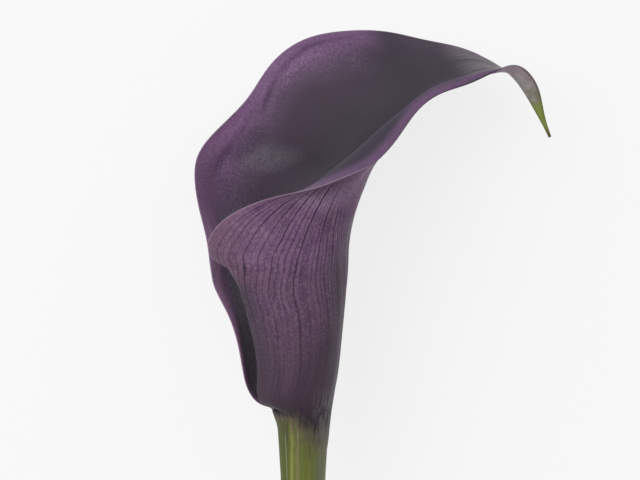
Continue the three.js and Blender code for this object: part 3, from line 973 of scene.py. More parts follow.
@dataclass(frozen=True)
class CutFinish:
    """The stem's cut face: moist pale pith with darker strands, and a green ring of skin."""

    effects: SharedEffects
    pith: Colour = tint(176, 180, 138)
    strand: Colour = tint(128, 140, 84)
    ring: Colour = tint(92, 102, 54)
    strands_to_a_metre: float = 950.0

    def material(self) -> bpy.types.Material:
        """Builds the material, which reads how far out from the middle each point lies.

        Returns:
            The material.
        """
        bench = Skin("stem_cut", {})
        here = bench.here()
        mottle = bench.shared(self.effects.mottle, Vector=here, Patch=0.9)
        cells = bench.add("ShaderNodeTexVoronoi", {"Vector": here, "Scale": self.strands_to_a_metre})
        coat = Coat(bench, self.pith, {"out": bench.stored("reach")[0], "mottle": mottle, "cells": cells})
        coat.lay(self.strand, 0.35, mottle=())
        coat.lay(self.strand, 0.8, cells=(0.34, 0.16), out=(0.9, 0.8))
        coat.lay(self.ring, out=(0.86, 0.97))
        return bench.finish(coat.colour, mottle * 0.2 + 0.25, mottle, 0.12, 0.6)


@dataclass(frozen=True)
class FloretFinish:
    """Grainy yellow florets of the spadix, paler on their tops."""

    effects: SharedEffects
    yellow: Colour = tint(196, 150, 52)
    pale: Colour = tint(226, 196, 110)
    groove: Colour = tint(120, 84, 30)

    def material(self) -> bpy.types.Material:
        """Builds the material, which reads how far each point stands proud of the spike.

        Returns:
            The material.
        """
        bench = Skin("floret_skin", {})
        mottle = bench.shared(self.effects.mottle, Vector=bench.here(), Patch=0.7)
        coat = Coat(bench, self.groove, {"proud": bench.stored("proud")[0]})
        coat.lay(self.yellow, proud=(0, 0.5))
        coat.lay(self.pale, mottle, proud=(0.45, 1))
        return bench.finish(coat.colour, mottle * 0.2 + 0.6, mottle, 0.08, 0.7)


def band(low: int, high: int, count: int) -> list[tuple[int, ...]]:
    """Joins two closed rings of corners, known by their first numbers, with four-sided faces."""
    return [(low + i, low + (i + 1) % count, high + (i + 1) % count, high + i) for i in range(count)]


@dataclass(frozen=True)
class Crease:
    """A fold that runs slantwise into the far margin.

    It starts at a place along the leaf and a distance from the margin, and nears the margin by a slope
    down to a least distance. It shows between the places along the leaf that are given for it.
    """

    start: float
    far: float
    slope: float
    least: float
    width: float
    strength: float
    shown: Reach

    def nearness(self, far: np.ndarray, along: np.ndarray, inward: float, width: float) -> np.ndarray:
        """Works out how near points lie to a line beside the crease.

        Args:
            far: Distance of each point from the far margin.
            along: Its place along the leaf.
            inward: How far in from the crease the line runs.
            width: Half width of the line.

        Returns:
            1 on the line, 0 away from it.
        """
        line = np.maximum(self.far - self.slope * (along - self.start), self.least) + inward
        return self.strength * hill(far - line, self.width * width) * between(along, *self.shown)


@dataclass
class Spathe:
    """The leaf that forms the tube, the open limb and the twisted tail, with a collar on the stem.

    Places across and along it run from 0 to 1: those of the cut under the near margin's corner, of the
    turn where the veins swing in, of the end of their gathering, and where keel and ripple show.
    """

    finish: SpatheFinish
    columns: int = 131
    rows: int = 290
    collar_rows: int = 26
    collar_thickness: float = 0.3
    collar_start_turn: float = 8.0
    collar_turn: Knots = ((0, 149), (0.65, 144), (1.5, 138), (3, 133), (7.5, 132.5), (11, 133))
    collar_proud: Knots = ((0, 0.18), (3, 0.16), (6, 0.13), (9, 0.08), (11, -0.06))
    collar_blend: float = 0.6
    collar_thins: float = 0.5
    hidden_depth: float = 0.6
    hidden_strip: float = 0.1
    hidden_shares: tuple[float, float] = (0.2, 0.5)
    thickness: float = 0.95
    margin_thickness: float = 0.36
    margin_taper: float = 5.0
    tail_thickness: float = 0.4
    tail_thins: tuple[float, float] = (0.82, 0.96)
    cut_back: float = 0.035
    cut_places: tuple[float, float, float] = (0.205, 0.252, 0.27)
    cut_reach: float = 0.3
    vein_pitch: float = 0.056
    vein_offsets: tuple[float, float] = (0.5, 0.37)
    vein_slack: float = 0.17
    vein_slack_ends: float = 0.07
    vein_pivot: float = 0.52
    vein_turn: float = 0.27
    vein_gathered: float = 0.45
    vein_easing: tuple[float, float] = (0.01, 0.03)
    widest_pitch: float = 9.0
    vein_crowding: float = 4.6
    keel_height: float = 0.3
    keel_width: float = 1.5
    keel_shown: Reach = (0.02, 0.1, 0.7, 0.85)
    rib_height: float = 0.07
    rib_pitches: tuple[float, float] = (1.0, 2.4)
    ribs_fade: tuple[float, float] = (0.37, 0.28)
    creases: tuple[Crease, ...] = (
        Crease(0.40, 7.7, 41, 0.0, 1.0, 0.55, (0.36, 0.4, 0.48, 0.52)),
        Crease(0.514, 5.6, 36, 2.6, 0.7, 1.0, (0.49, 0.52, 0.58, 0.68)))
    crease_depth: float = 0.3
    crease_width: float = 1.3
    crest_height: float = 0.12
    crest_width: float = 1.9
    crest_inward: float = 3.0
    ripple_height: float = 0.22
    ripple_length: float = 19.0
    ripple_phase: float = 0.8
    ripple_reach: float = 5.0
    ripple_shown: Reach = (0.3, 0.42, 0.72, 0.85)
    softening_passes: int = 30
    softened_rows: tuple[int, int] = (13, 5)
    softened_across: Reach = (0.0, 0.16, 0.82, 0.97)
    softened_margin: float = 0.12

    def __post_init__(self) -> None:
        """Works out the places of the stations and the curve of each rib."""
        stations = np.array([station.points() for station in (*TUBE, *LIMB, *TAIL)])
        steps = np.linalg.norm(np.diff(stations, axis=0), axis=2).mean(axis=1)
        reached = np.concatenate([[0], np.cumsum(steps)])
        self.length = float(reached[-1])
        self.ribs = NaturalSpline(reached / self.length, stations)

    def surface(self, across: np.ndarray, along: np.ndarray) -> np.ndarray:
        """Returns points on the leaf's middle, one row for each place along it."""
        rows = self.ribs.at(along)
        return NaturalSpline(RIB_PLACES, rows.transpose(1, 0, 2)).at(across).transpose(1, 0, 2)

    def trimmed(self, across: np.ndarray, along: np.ndarray) -> np.ndarray:
        """Cuts the leaf back under the near margin's corner.

        Args:
            across: Place across of each column.
            along: Place along of each row.

        Returns:
            Each column's place across, one row for each place along.
        """
        start, deepest, end = self.cut_places
        begun = np.clip((along - start) / (deepest - start), 0, 1)
        cut = self.cut_back * begun * (1 - ease(along, deepest, end))
        return across[None, :] - cut[:, None] * ease(across, 1 - self.cut_reach, 1)[None, :]

    def vein_numbers(self, across: np.ndarray, along: np.ndarray) -> np.ndarray:
        """Numbers the veins from each margin.

        Up the tube they swing away from the margins, and above the turn they draw together towards them.

        Args:
            across: Place across of each point.
            along: Place along of each row.

        Returns:
            The number at each point. A vein runs half-way between whole numbers.
        """
        in_from_margin = 1 - np.abs(2 * across - 1)
        along = along[:, None]
        slack = self.vein_slack * ease(along, self.vein_turn, self.vein_turn - self.vein_slack_ends)
        swung = (in_from_margin + slack) / (1 + slack / self.vein_pivot)
        start = np.maximum(in_from_margin, swung) / self.vein_pitch
        soft = self.vein_easing[0] + self.vein_easing[1] * in_from_margin
        past_turn, past_end = (soft * np.logaddexp(0, (along - place) / soft)
                               for place in (self.vein_turn, self.vein_gathered))
        crowding = np.exp(self.vein_crowding * (past_turn - past_end) + past_end)
        first, shifted = self.vein_offsets
        return start * crowding + first + shifted * (across < 0.5)

    def leaf_rows(self) -> Rows:
        """Works out the leaf above its foot.

        Returns:
            Points, thickness, the keel's height and what the finish reads, by name.
        """
        across, along = np.linspace(0, 1, self.columns), np.linspace(0, 1, self.rows)
        step = 1e-4
        points = self.surface(across, along)
        seen = self.trimmed(across, along)
        for row, places in zip(points, seen):
            row[:] = np.stack([np.interp(places, across, row[:, axis]) for axis in range(3)], axis=1)
        slope_across = (self.surface(across + step, along) - self.surface(across - step, along)) / (2 * step)
        slope_along = (self.surface(across, along + step) - self.surface(across, along - step)) / (2 * step)
        normals = np.cross(slope_across, slope_along)
        normals /= np.linalg.norm(normals, axis=2, keepdims=True)
        widths = np.linalg.norm(np.diff(points, axis=1), axis=2)
        far = np.concatenate([np.zeros((self.rows, 1)), np.cumsum(widths, axis=1)], axis=1)
        near = far[:, -1:] - far
        veins = self.vein_numbers(seen, along)
        place_along = np.broadcast_to(along[:, None], far.shape)
        rows = {
            "points": points, "far": far, "near": near, "vein": veins, "across": seen, "along": place_along,
            "pitch": self.vein_spacing(veins, across, along, slope_across, slope_along),
            "thickness": self.sheet_thickness(far, near, place_along),
            "crease": self.folded(far, place_along, 0.0, self.crease_width),
            "crest": self.folded(far, place_along, self.crest_inward, self.crest_width),
        }
        ridge = hill(far - far[:, [self.columns // 2]], self.keel_width)
        rows["keel"] = self.keel_height * ridge * between(place_along, *self.keel_shown)
        rows["points"] = points + self.relief(rows)[..., None] * normals
        return rows

    def vein_spacing(self, veins: np.ndarray, across: np.ndarray, along: np.ndarray,
                     slope_across: np.ndarray, slope_along: np.ndarray) -> np.ndarray:
        """Works out the real distance between neighbouring veins.

        Args:
            veins: Vein number at each point.
            across: Place across of each column.
            along: Place along of each row.
            slope_across: How the points move with the place across.
            slope_along: How the points move with the place along.

        Returns:
            The distance at each point, in millimetres, and no more than the widest pitch.
        """
        turn_across = np.gradient(veins, across, axis=1)
        turn_along = np.gradient(veins, along, axis=0)
        e = (slope_across ** 2).sum(axis=2)
        f = (slope_across * slope_along).sum(axis=2)
        g = (slope_along ** 2).sum(axis=2)
        steep = g * turn_across ** 2 - 2 * f * turn_across * turn_along + e * turn_along ** 2
        tiny = 1e-6
        pitch = np.sqrt(np.maximum(e * g - f ** 2, tiny) / np.maximum(steep, tiny))
        return np.clip(pitch, 0, self.widest_pitch)

    def sheet_thickness(self, far: np.ndarray, near: np.ndarray, along: np.ndarray) -> np.ndarray:
        """Thins the leaf towards its margins and its tail.

        Args:
            far: Distance of each point from the far margin.
            near: Its distance from the near margin.
            along: Its place along the leaf.

        Returns:
            The thickness of each point, in millimetres.
        """
        inward = ease(np.minimum(far, near), 0, self.margin_taper)
        thick = self.margin_thickness + (self.thickness - self.margin_thickness) * inward
        return thick + (self.tail_thickness - thick) * ease(along, *self.tail_thins)

    def folded(self, far: np.ndarray, along: np.ndarray, inward: float, width: float) -> np.ndarray:
        """Returns from 0 to 1 how near points lie to the lines so far in from the creases."""
        return np.maximum(*(crease.nearness(far, along, inward, width) for crease in self.creases))

    def relief(self, rows: Rows) -> np.ndarray:
        """Moves the leaf in or out: soft ribs between veins, the creases and a ripple by the far margin.

        Args:
            rows: What is known of each point, by name.

        Returns:
            How far each point moves, in millimetres.
        """
        along = rows["along"]
        ribs = np.cos(math.pi * rows["vein"]) * ease(rows["pitch"], *self.rib_pitches)
        ribs *= self.rib_height * ease(along, *self.ribs_fade)
        waves = np.sin(2 * math.pi * along * self.length / self.ripple_length + self.ripple_phase)
        ripple = waves * np.exp(-rows["far"] / self.ripple_reach) * between(along, *self.ripple_shown)
        folds = self.crest_height * rows["crest"] - self.crease_depth * rows["crease"]
        return ribs + folds + self.ripple_height * ripple

    def collar(self, leaf: Rows) -> Rows:
        """Works out the collar that runs down from the foot and dies into the stem.

        Args:
            leaf: The rows of the leaf, which the collar joins at its first row.

        Returns:
            The same kinds of rows as the leaf's, from the lowest up.
        """
        foot = TUBE[0]
        share = np.linspace(1, 0, self.collar_rows, endpoint=False)[:, None]
        across = np.linspace(0, 1, self.columns)[None, :]
        depth = COLLAR_DEPTH * share * np.ones_like(across)
        soft = ease(share, 0, self.collar_blend)
        turned = np.interp(depth, *zip(*self.collar_turn)) + 360
        start = foot.start + self.collar_start_turn * soft
        angle = np.radians(start + (turned - start) * across)
        thick = leaf["thickness"][0]
        thick = thick + (self.collar_thickness - thick) * ease(share, 0, self.collar_thins)
        proud = np.interp(depth, *zip(*self.collar_proud))
        hidden = self.hidden_depth * ease(across, self.hidden_strip, 0) * ease(share, *self.hidden_shares)
        outer = stem_radius(depth) + proud - hidden - thick / 2
        radius_x, radius_z = (width + (outer - outer[-1:]) + (outer[-1:] - width) * soft
                              for width in (foot.half_width, foot.half_depth))
        side, front = np.cos(angle), np.sin(angle)
        points = np.stack([
            foot.x * (1 - soft) + radius_x * side,
            (foot.y - foot.lean * side) * (1 - ease(share, 0, 1)) - depth,
            radius_z * front - stem_drop(depth),
        ], axis=2)
        rows = {name: np.repeat(values[:1], self.collar_rows, axis=0) for name, values in leaf.items()}
        return {**rows, "points": points, "thickness": thick + 0 * depth, "keel": 0 * depth}

    def soften_foot(self, points: np.ndarray) -> np.ndarray:
        """Rounds the step between collar and tube, less so by the margins, where a crease stays.

        Args:
            points: The middle of the collar and leaf together, rows from the lowest up.

        Returns:
            The points with the rows round the foot eased into one another.
        """
        reach = np.abs(np.arange(len(points)) - self.collar_rows)[:, None]
        across = np.linspace(0, 1, self.columns)[None, :]
        free = between(across, *self.softened_across)
        share = self.softened_margin + (1 - self.softened_margin) * free
        weight = (ease(reach, *self.softened_rows) * share)[..., None]
        points = points.copy()
        for _ in range(self.softening_passes):
            middle = (points[:-2] + points[2:]) / 2
            points[1:-1] += 0.5 * weight[1:-1] * (middle - points[1:-1])
        return points

    def loops(self, rows: Rows) -> tuple[np.ndarray, Rows]:
        """Wraps each row into a closed loop: inner face, round near margin, outer face, round far margin.

        Args:
            rows: The leaf's rows with the collar's below them.

        Returns:
            The corners of every loop, and what the finish reads at each, by attribute name.
        """
        points, normals = rows["points"], rows["normals"]
        half = rows["thickness"][..., None] / 2
        columns = np.arange(self.columns)
        corners, source, faces = [points + normals * half], [columns], [np.ones(self.columns)]
        for edge, neighbour, turns in ((-1, -2, (45, 90, 135)), (0, 1, (225, 270, 315))):
            outward = points[:, edge] - points[:, neighbour]
            outward /= np.linalg.norm(outward, axis=1, keepdims=True)
            for angle in map(math.radians, turns):
                lift = math.cos(angle) * normals[:, edge] + abs(math.sin(angle)) * outward
                corners.append((points[:, edge] + half[:, edge] * lift)[:, None])
                source.append(columns[[edge]])
                faces.append(np.array([0.5 + 0.5 * math.cos(angle)]))
            if edge == -1:
                corners.append((points - normals * (half + rows["keel"][..., None]))[:, ::-1])
                source.append(columns[::-1])
                faces.append(np.zeros(self.columns))
        vertices = np.concatenate(corners, axis=1)
        column = np.concatenate(source)
        inside = np.broadcast_to(np.concatenate(faces), vertices.shape[:2])
        pick = {name: values[:, column] for name, values in rows.items() if values.ndim == 2}
        return vertices, {name: np.stack(values, axis=2) for name, values in {
            "place": (pick["across"], pick["along"], inside),
            "flow": (pick["vein"], pick["along"] * self.length, pick["pitch"]),
            "edge": (pick["far"], pick["near"], vertices[..., 1]),
            "fold": (pick["crease"], pick["crest"], 0 * inside),
        }.items()}

    def end_faces(self, first: int) -> list[tuple[int, ...]]:
        """Closes a loop across the leaf's thickness.

        Args:
            first: Number of the loop's first corner.

        Returns:
            The faces.
        """
        last = self.columns - 1
        near_rim, outer = first + self.columns, first + self.columns + 3
        far_rim = outer + self.columns
        faces = [(first + i, first + i + 1, outer + last - i - 1, outer + last - i) for i in range(last)]
        faces.append((first + last, *range(near_rim, near_rim + 3), outer))
        faces.append((outer + last, *range(far_rim, far_rim + 3), first))
        return faces

    def build(self) -> bpy.types.Object:
        """Makes the spathe's mesh and dresses it.

        Returns:
            The piece.
        """
        leaf = self.leaf_rows()
        collar = self.collar(leaf)
        rows = {name: np.concatenate([collar[name], leaf[name]], axis=0) for name in leaf}
        rows["points"] = self.soften_foot(rows["points"])
        normals = np.cross(np.gradient(rows["points"], axis=1), np.gradient(rows["points"], axis=0))
        rows["normals"] = normals / np.linalg.norm(normals, axis=2, keepdims=True)
        vertices, stored = self.loops(rows)
        vertices[..., 2] = np.maximum(vertices[..., 2], -FOOT[2])
        count, ring = vertices.shape[:2]
        faces = [face for low in range(0, (count - 1) * ring, ring) for face in band(low, low + ring, ring)]
        faces += [face[::-1] for face in self.end_faces(0)]
        faces += self.end_faces((count - 1) * ring)
        piece = new_object("spathe_leaf", vertices.reshape(-1, 3), faces)
        for name, values in stored.items():
            store(piece, name, values.reshape(-1, 3))
        piece.data.materials.append(self.finish.material())
        return piece


class Grower(Bench):
    """Builds a geometry node tree and turns what it makes into a plain mesh.

    Lengths in the tree are in the flower's millimetres; the last steps take them to the row frame.
    """

    def __init__(self, name: str, **inputs: float | int) -> None:
        """Starts a tree with named inputs.

        Args:
            name: Name of the tree and of the piece.
            inputs: Value of each input by its name, whole for a count.
        """
        super().__init__(bpy.data.node_groups.new(name, "GeometryNodeTree"))
        self.name = name
        self.values = {}
        for label, value in inputs.items():
            kind = "NodeSocketInt" if isinstance(value, int) else "NodeSocketFloat"
            socket = self.tree.interface.new_socket(label, in_out="INPUT", socket_type=kind)
            self.values[socket.identifier] = value
        self.tree.interface.new_socket("Geometry", in_out="OUTPUT", socket_type="NodeSocketGeometry")
        entry = self.tree.nodes.new("NodeGroupInput")
        self.given = {label: Field(self, entry.outputs[label]) for label in inputs}

    def position(self) -> list[Field]:
        """Returns the position's three numbers."""
        return self.parts(self.add("GeometryNodeInputPosition"))

    def curve(self, value: Field, points: Sequence[tuple[float, float]], end: float) -> Field:
        """Reads a value off a line through given points.

        Args:
            value: Where to read it, in the units of the points' first numbers.
            points: Pairs of place and value, in order, from a place of 0.
            end: The place that the line ends at.

        Returns:
            The value there.
        """
        tallest = max(height for _, height in points)
        read = self.add("ShaderNodeFloatCurve", {"Value": value / end})
        mapping = read.socket.node.mapping
        line = mapping.curves[0]
        while len(line.points) < len(points):
            line.points.new(0.5, 0.5)
        for knot, (place, height) in zip(line.points, points):
            knot.location = (place / end, height / tallest)
            knot.handle_type = "AUTO"
        mapping.update()
        return read * tallest

    def path(self, count: object) -> Field:
        """Makes a straight curve from 0 to 1 along X with so many points."""
        line = self.add("GeometryNodeCurvePrimitiveLine", {"End": (1.0, 0.0, 0.0)})
        return self.add("GeometryNodeResampleCurve", {"Curve": line, "Count": count})

    def move(self, geometry: Field, x: object, y: object, z: object) -> Field:
        """Puts every point of a geometry at the position given."""
        return self.add("GeometryNodeSetPosition", {"Geometry": geometry, "Position": self.vector(x, y, z)})

    def sweep(self, curve: Field, radius: Field, sides: object) -> Field:
        """Sweeps a circle of changing radius along a curve and closes both ends.

        Args:
            curve: The line that it follows.
            radius: Its radius along the line.
            sides: Its number of sides.

        Returns:
            The tube.
        """
        thick = self.add("GeometryNodeSetCurveRadius", {"Curve": curve, "Radius": radius})
        circle = self.add("GeometryNodeCurvePrimitiveCircle", {"Resolution": sides, "Radius": 1.0})
        tube = self.add("GeometryNodeCurveToMesh", {
            "Curve": thick, "Profile Curve": circle, "Fill Caps": True})
        scale = tube.socket.node.inputs.get("Scale")
        if scale is not None:
            self.feed(scale, self.add("GeometryNodeInputRadius"))
        return tube

    def grow(self, geometry: Field, material: bpy.types.Material) -> bpy.types.Object:
        """Takes the geometry to the row frame and makes a plain mesh object of it.

        Args:
            geometry: What the tree has made, in millimetres from the spathe's foot.
            material: The finish of all its faces.

        Returns:
            The object, with no modifier left on it.
        """
        x, y, z = self.position()
        z = self.larger(z, -float(FOOT[2]))
        placed = self.move(geometry, *(
            (value + float(shift)) * METRE for value, shift in zip((x, y, z), FOOT)))
        real = self.add("GeometryNodeRealizeInstances", (placed,))
        painted = self.add("GeometryNodeSetMaterial", {"Geometry": real, "Material": material})
        self.feed(self.tree.nodes.new("NodeGroupOutput").inputs[0], painted)
        host = linked(f"{self.name}_host", bpy.data.meshes.new(f"{self.name}_host"))
        modifier = host.modifiers.new(self.name, "NODES")
        modifier.node_group = self.tree
        for identifier, value in self.values.items():
            modifier[identifier] = value
        bpy.context.view_layer.update()
        seen = host.evaluated_get(bpy.context.evaluated_depsgraph_get())
        mesh = bpy.data.meshes.new_from_object(seen)
        host.modifiers.remove(modifier)
        bpy.data.objects.remove(host)
        mesh.name = self.name
        mesh.polygons.foreach_set("use_smooth", [True] * len(mesh.polygons))
        return linked(self.name, mesh)


@dataclass
class Stem:
    """The long stem, bowed down from the foot to the table, with the ridge that a margin leaves on it."""

    finish: StemFinish
    ridge_finish: StemFinish
    cut_finish: CutFinish
    rings: int = 130
    sides: int = 56
    rib_relief: float = 0.09
    ribs_to_a_millimetre: float = 1.1
    rib_waver: float = 0.02
    ring_crowding: float = 1.25
    ribs_grow: tuple[float, float] = (-4.0, -13.0)
    under_collar: float = 0.32
    covered_at: Reach = (0, 1.2, 2.2, 4, 5.5, 7.5, 9.5)
    free_at: Reach = (11, 14, 18, 28, 40, 90)
    cut_end: Knots = ((139.2, 5.5), (STEM_LENGTH, 5.15))
    heel: float = 0.9
    heel_across: tuple[float, float] = (-2.0, -7.5)
    heel_above: tuple[float, float] = (-5.0, 0.5)
    ridge_points: int = 90
    ridge_start: float = 0.8
    ridge_end: float = 62.0
    ridge_radius: float = 0.3
    ridge_sunk: float = 0.1
    ridge_sides: int = 10
    ridge_turn: Knots = ((0, 150), (1.5, 138.5), (3, 133.5), (7.5, 133), (18, 134), (62, 134))
    ridge_taper: Knots = ((0, 1.2), (5, 1.15), (14, 0.85), (30, 0.5), (62, 0.2))
    cut_rings: int = 12
    cut_radius: float = 5.3
    cut_height: float = 0.2
    cut_dome: float = 0.22
    cut_groove: float = 0.12
    groove_place: float = 0.86
    groove_width: float = 0.07
    cut_waves: float = 0.03
    cut_sunk: float = 0.3

    def radius_points(self) -> list[tuple[float, float]]:
        """Gives the drawn stem's radius below the foot, slimmer where the collar covers it.

        Returns:
            Pairs of distance and radius.
        """
        covered = [(depth, float(stem_radius(depth)) - self.under_collar * (1 - depth / COLLAR_DEPTH))
                   for depth in self.covered_at]
        free = [(depth, float(stem_radius(depth))) for depth in self.free_at]
        return [*covered, *free, *self.cut_end]

    def build_stem(self) -> bpy.types.Object:
        """Sweeps the stem along its bow and draws fine ribs lengthwise on its skin.

        Returns:
            The piece.
        """
        grower = Grower("stem_skin_tube", Length=STEM_LENGTH, Drop=STEM_DROP, Rings=self.rings,
                        Sides=self.sides, Relief=self.rib_relief, Seat=SEAT_HEIGHT, Slope=SEAT_SLOPE,
                        Heel=self.heel)
        given = grower.given
        crowded = grower.math("POWER", grower.position()[0], self.ring_crowding)
        line = grower.move(grower.path(given["Rings"]), 0.0, crowded * given["Length"] * -1.0,
                           crowded * crowded * given["Drop"] * -1.0)
        radius = grower.curve(grower.position()[1] * -1.0, self.radius_points(), STEM_LENGTH)
        tube = grower.sweep(line, radius, given["Sides"])
        x, y, z = grower.position()
        seat = (given["Slope"] * x + given["Seat"]) * y.rise(-SEAT_FADE, 0.0)
        around, along = self.ribs_to_a_millimetre, self.rib_waver
        grain = grower.noise(grower.vector(x * around, y * along, z * around), 1.0) - 0.5
        push = grain * given["Relief"] * 2.0 * y.rise(*self.ribs_grow)
        heel = given["Heel"] * x.rise(*self.heel_across) * y.rise(*self.heel_above)
        out_x, _, out_z = grower.parts(grower.add("GeometryNodeInputNormal"))
        tube = grower.move(tube, x + out_x * push - heel, y + seat, z + out_z * push)
        return grower.grow(tube, self.finish.material())

    def build_ridge(self) -> bpy.types.Object:
        """Sweeps the pale ridge that runs down the stem from the near margin's foot.

        Returns:
            The piece.
        """
        grower = Grower("stem_margin_ridge", Start=self.ridge_start, End=self.ridge_end,
                        Points=self.ridge_points, Radius=self.ridge_radius)
        given = grower.given
        share = grower.position()[0]
        depth = share * share * (given["End"] - given["Start"]) + given["Start"]
        angle = grower.math("RADIANS", grower.curve(depth, self.ridge_turn, self.ridge_end))
        reach = grower.curve(depth, self.radius_points(), STEM_LENGTH) - self.ridge_sunk
        part = depth / STEM_LENGTH
        line = grower.move(grower.path(given["Points"]), grower.math("COSINE", angle) * reach, depth * -1.0,
                           grower.math("SINE", angle) * reach - part * part * STEM_DROP)
        taper = grower.curve(grower.position()[1] * -1.0, self.ridge_taper, self.ridge_end)
        tube = grower.sweep(line, taper * given["Radius"], self.ridge_sides)
        return grower.grow(tube, self.ridge_finish.material())

    def build_cut(self) -> bpy.types.Object:
        """Makes the cut face as a shallow dome of pith inside a ring of skin, closed behind.

        Returns:
            The piece.
        """
        rings, sides = self.cut_rings, self.sides
        tilt = math.atan(2 * STEM_DROP / STEM_LENGTH)
        out_of_end = np.array([0.0, -math.cos(tilt), -math.sin(tilt)])
        up = np.array([0.0, -math.sin(tilt), math.cos(tilt)])
        centre = np.array([0.0, -STEM_LENGTH, -STEM_DROP])
        vertices, reach = [centre + (self.cut_height + self.cut_dome) * out_of_end], [0.0]
        for ring in range(1, rings + 1):
            share = ring / rings
            groove = self.cut_groove * float(hill(share - self.groove_place, self.groove_width))
            dome = self.cut_height + self.cut_dome * (1 - share ** 2) - groove
            for side in range(sides):
                angle = 2 * math.pi * side / sides
                spoke = math.sin(angle) * up + math.cos(angle) * np.array([1.0, 0.0, 0.0])
                uneven = self.cut_waves * math.sin(3 * angle + 1) * share
                height = -self.cut_sunk if ring == rings else dome + uneven
                vertices.append(centre + self.cut_radius * share * spoke + height * out_of_end)
                reach.append(share)
        vertices = np.array(vertices)
        vertices[:, 2] = np.maximum(vertices[:, 2], -FOOT[2])
        faces = [(0, 1 + side, 1 + (side + 1) % sides) for side in range(sides)]
        for low in range(1, 1 + (rings - 1) * sides, sides):
            faces += [(first, *others[::-1]) for first, *others in band(low, low + sides, sides)]
        faces.append(tuple(range(len(vertices) - 1, len(vertices) - 1 - sides, -1)))
        piece = new_object("stem_cut_face", vertices, faces)
        store(piece, "reach", np.outer(reach, (1, 0, 0)))
        piece.data.materials.append(self.cut_finish.material())
        return piece


@dataclass
class Spadix:
    """The spike of florets inside the tube: a tapered core with florets set on a golden spiral."""

    finish: FloretFinish
    length: float = 44.0
    lean: float = -0.09
    florets: int = 640
    hidden_florets: float = 6.0
    floret_radius: float = 0.62
    golden_turn: float = 137.508
    core_sides: int = 24
    core_rings: int = 50
    foot_gap: float = 0.3
    tip_shrink: float = 0.45
    tip_from: float = 0.7
    profile: Knots = ((0, 2.8), (0.08, 2.9), (0.2, 3.4), (0.5, 3.5), (0.8, 2.9), (0.95, 1.6), (1, 0.5))

    def build(self) -> bpy.types.Object:
        """Grows the spike straight, marks how proud each point stands, and leans it.

        Returns:
            The piece.
        """
        grower = Grower("spadix_florets", Length=self.length, Lean=self.lean, Florets=self.florets,
                        Radius=self.floret_radius, Turn=self.golden_turn)
        given = grower.given
        line = grower.move(grower.path(self.core_rings), 0.0, grower.position()[0] * given["Length"], 0.0)
        along = grower.position()[1] / given["Length"]
        core = grower.sweep(line, grower.curve(along, self.profile, 1), self.core_sides)
        index = grower.add("GeometryNodeInputIndex")
        place = (index + self.hidden_florets) / (given["Florets"] + self.hidden_florets)
        angle = grower.math("RADIANS", index * given["Turn"])
        reach = grower.curve(place, self.profile, 1)
        spots = grower.move(
            grower.add("GeometryNodePoints", {"Count": given["Florets"]}),
            grower.math("COSINE", angle) * reach, place * given["Length"], grower.math("SINE", angle) * reach)
        ball = grower.add("GeometryNodeMeshIcoSphere", {"Radius": given["Radius"], "Subdivisions": 2})
        size = 1.0 - place.rise(self.tip_from, 1.0) * self.tip_shrink
        set_on = grower.add("GeometryNodeInstanceOnPoints", {
            "Points": spots, "Instance": ball, "Scale": grower.vector(size, size, size)})
        joined = grower.add("GeometryNodeJoinGeometry", (core,))
        grower.feed(joined.socket.node.inputs[0], set_on)
        real = grower.add("GeometryNodeRealizeInstances", (joined,))
        x, y, z = grower.position()
        along = y / given["Length"]
        out = grower.math("SQRT", x * x + z * z) - grower.curve(along, self.profile, 1)
        marked = grower.add("GeometryNodeStoreNamedAttribute", {
            "Geometry": real, "Name": "proud", "Value": grower.vector(out / given["Radius"], 0.0, 0.0),
        }, data_type="FLOAT_VECTOR", domain="POINT")
        foot = x * SEAT_SLOPE + (SEAT_HEIGHT + self.foot_gap)
        leant = x + along * along * given["Lean"] * given["Length"]
        spike = grower.move(marked, leant, y + foot * y.rise(SEAT_FADE, 0.0), z)
        return grower.grow(spike, self.finish.material())


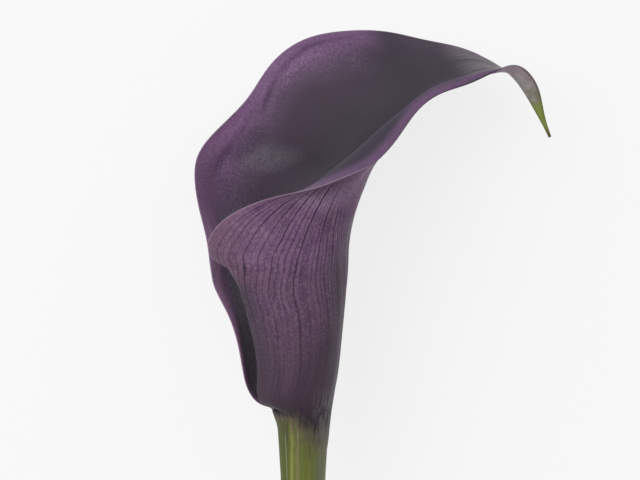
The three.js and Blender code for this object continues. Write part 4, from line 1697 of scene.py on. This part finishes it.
@dataclass
class Studio:
    """The pale floor, the soft lights and the camera that looks straight down on the flower."""

    floor_reach: float = 3.0
    floor_gap: float = 0.05
    floor_white: float = 0.16
    floor_shade: float = 0.97
    floor_grain: float = 0.04
    floor_glow: float = 0.79
    sky_strength: float = 0.55
    key_place: tuple[float, float, float] = (-0.7, 0.55, 1.0)
    key_aim: tuple[float, float, float] = (0.0, 45.0, 0.0)
    key_size: float = 1.3
    key_power: float = 10.6
    camera_place: tuple[float, float, float] = (4.59, 46.44, 750.0)
    lens: float = 156.25
    sensor: float = 36.0
    sight: float = 20.0

    def build_floor(self) -> None:
        """Lays a plain pale floor just under the flower, lit a little from below to soften shadows."""
        reach, low = self.floor_reach * PER_METRE, -FOOT[2] - self.floor_gap
        corners = [(-reach, -reach, low), (reach, -reach, low), (reach, reach, low), (-reach, reach, low)]
        floor = new_object("studio_floor", corners, [(0, 1, 2, 3)], smooth=False)
        bench = Skin("studio_floor", {
            "Roughness": 0.9, "Specular IOR Level": 0.1, "Emission Color": (1.0, 1.0, 1.0),
            "Emission Strength": self.floor_glow})
        grain = bench.noise(bench.here(), 4.0)
        white, shade = ((self.floor_white * part,) * 3 for part in (1, self.floor_shade))
        bench.feed(bench.inputs["Base Color"], bench.mix(grain * self.floor_grain, white, shade))
        floor.data.materials.append(bench.material)

    def build_lights(self) -> None:
        """Hangs a large soft light to the upper left under an even white sky."""
        world = bpy.data.worlds.new("studio_sky")
        world.use_nodes = True
        sky = world.node_tree.nodes["Background"]
        sky.inputs["Color"].default_value = (1.0, 1.0, 1.0, 1.0)
        sky.inputs["Strength"].default_value = self.sky_strength
        bpy.context.scene.world = world
        light = bpy.data.lights.new("studio_key", "AREA")
        light.shape, light.size, light.energy = "DISK", self.key_size, self.key_power
        key = linked("studio_key", light)
        key.location = self.key_place
        key.rotation_mode = "QUATERNION"
        key.rotation_quaternion = Vector(in_metres(self.key_aim) - self.key_place).to_track_quat("-Z", "Y")

    def build_camera(self) -> None:
        """Puts the camera straight above, at the photograph's angle and distance."""
        camera = bpy.data.cameras.new("photo_camera")
        camera.lens, camera.sensor_width, camera.clip_end = self.lens, self.sensor, self.sight
        holder = linked("photo_camera", camera)
        holder.location = in_metres(self.camera_place)
        bpy.context.scene.camera = holder

    def build(self) -> None:
        """Builds floor, lights and camera, and keeps colours plain."""
        self.build_floor()
        self.build_lights()
        self.build_camera()
        bpy.context.scene.view_settings.view_transform = "Standard"
        bpy.context.scene.view_settings.look = "None"


def main() -> None:
    """Builds the flower piece by piece, and then the studio round it."""
    logging.basicConfig(level=logging.INFO, format="%(name)s: %(message)s")
    effects = SharedEffects()
    hand_over(Spathe(SpatheFinish(effects)).build(), Slot.SPATHE, "spathe")
    stem = Stem(StemFinish(effects), StemFinish(effects, lightened=0.5), CutFinish(effects))
    hand_over(stem.build_stem(), Slot.STEM, "stem")
    hand_over(stem.build_ridge(), Slot.STEM)
    hand_over(stem.build_cut(), Slot.STEM)
    hand_over(Spadix(FloretFinish(effects)).build(), Slot.FLORETS, "spadix")
    Studio().build()


if __name__ == "__main__":
    main()
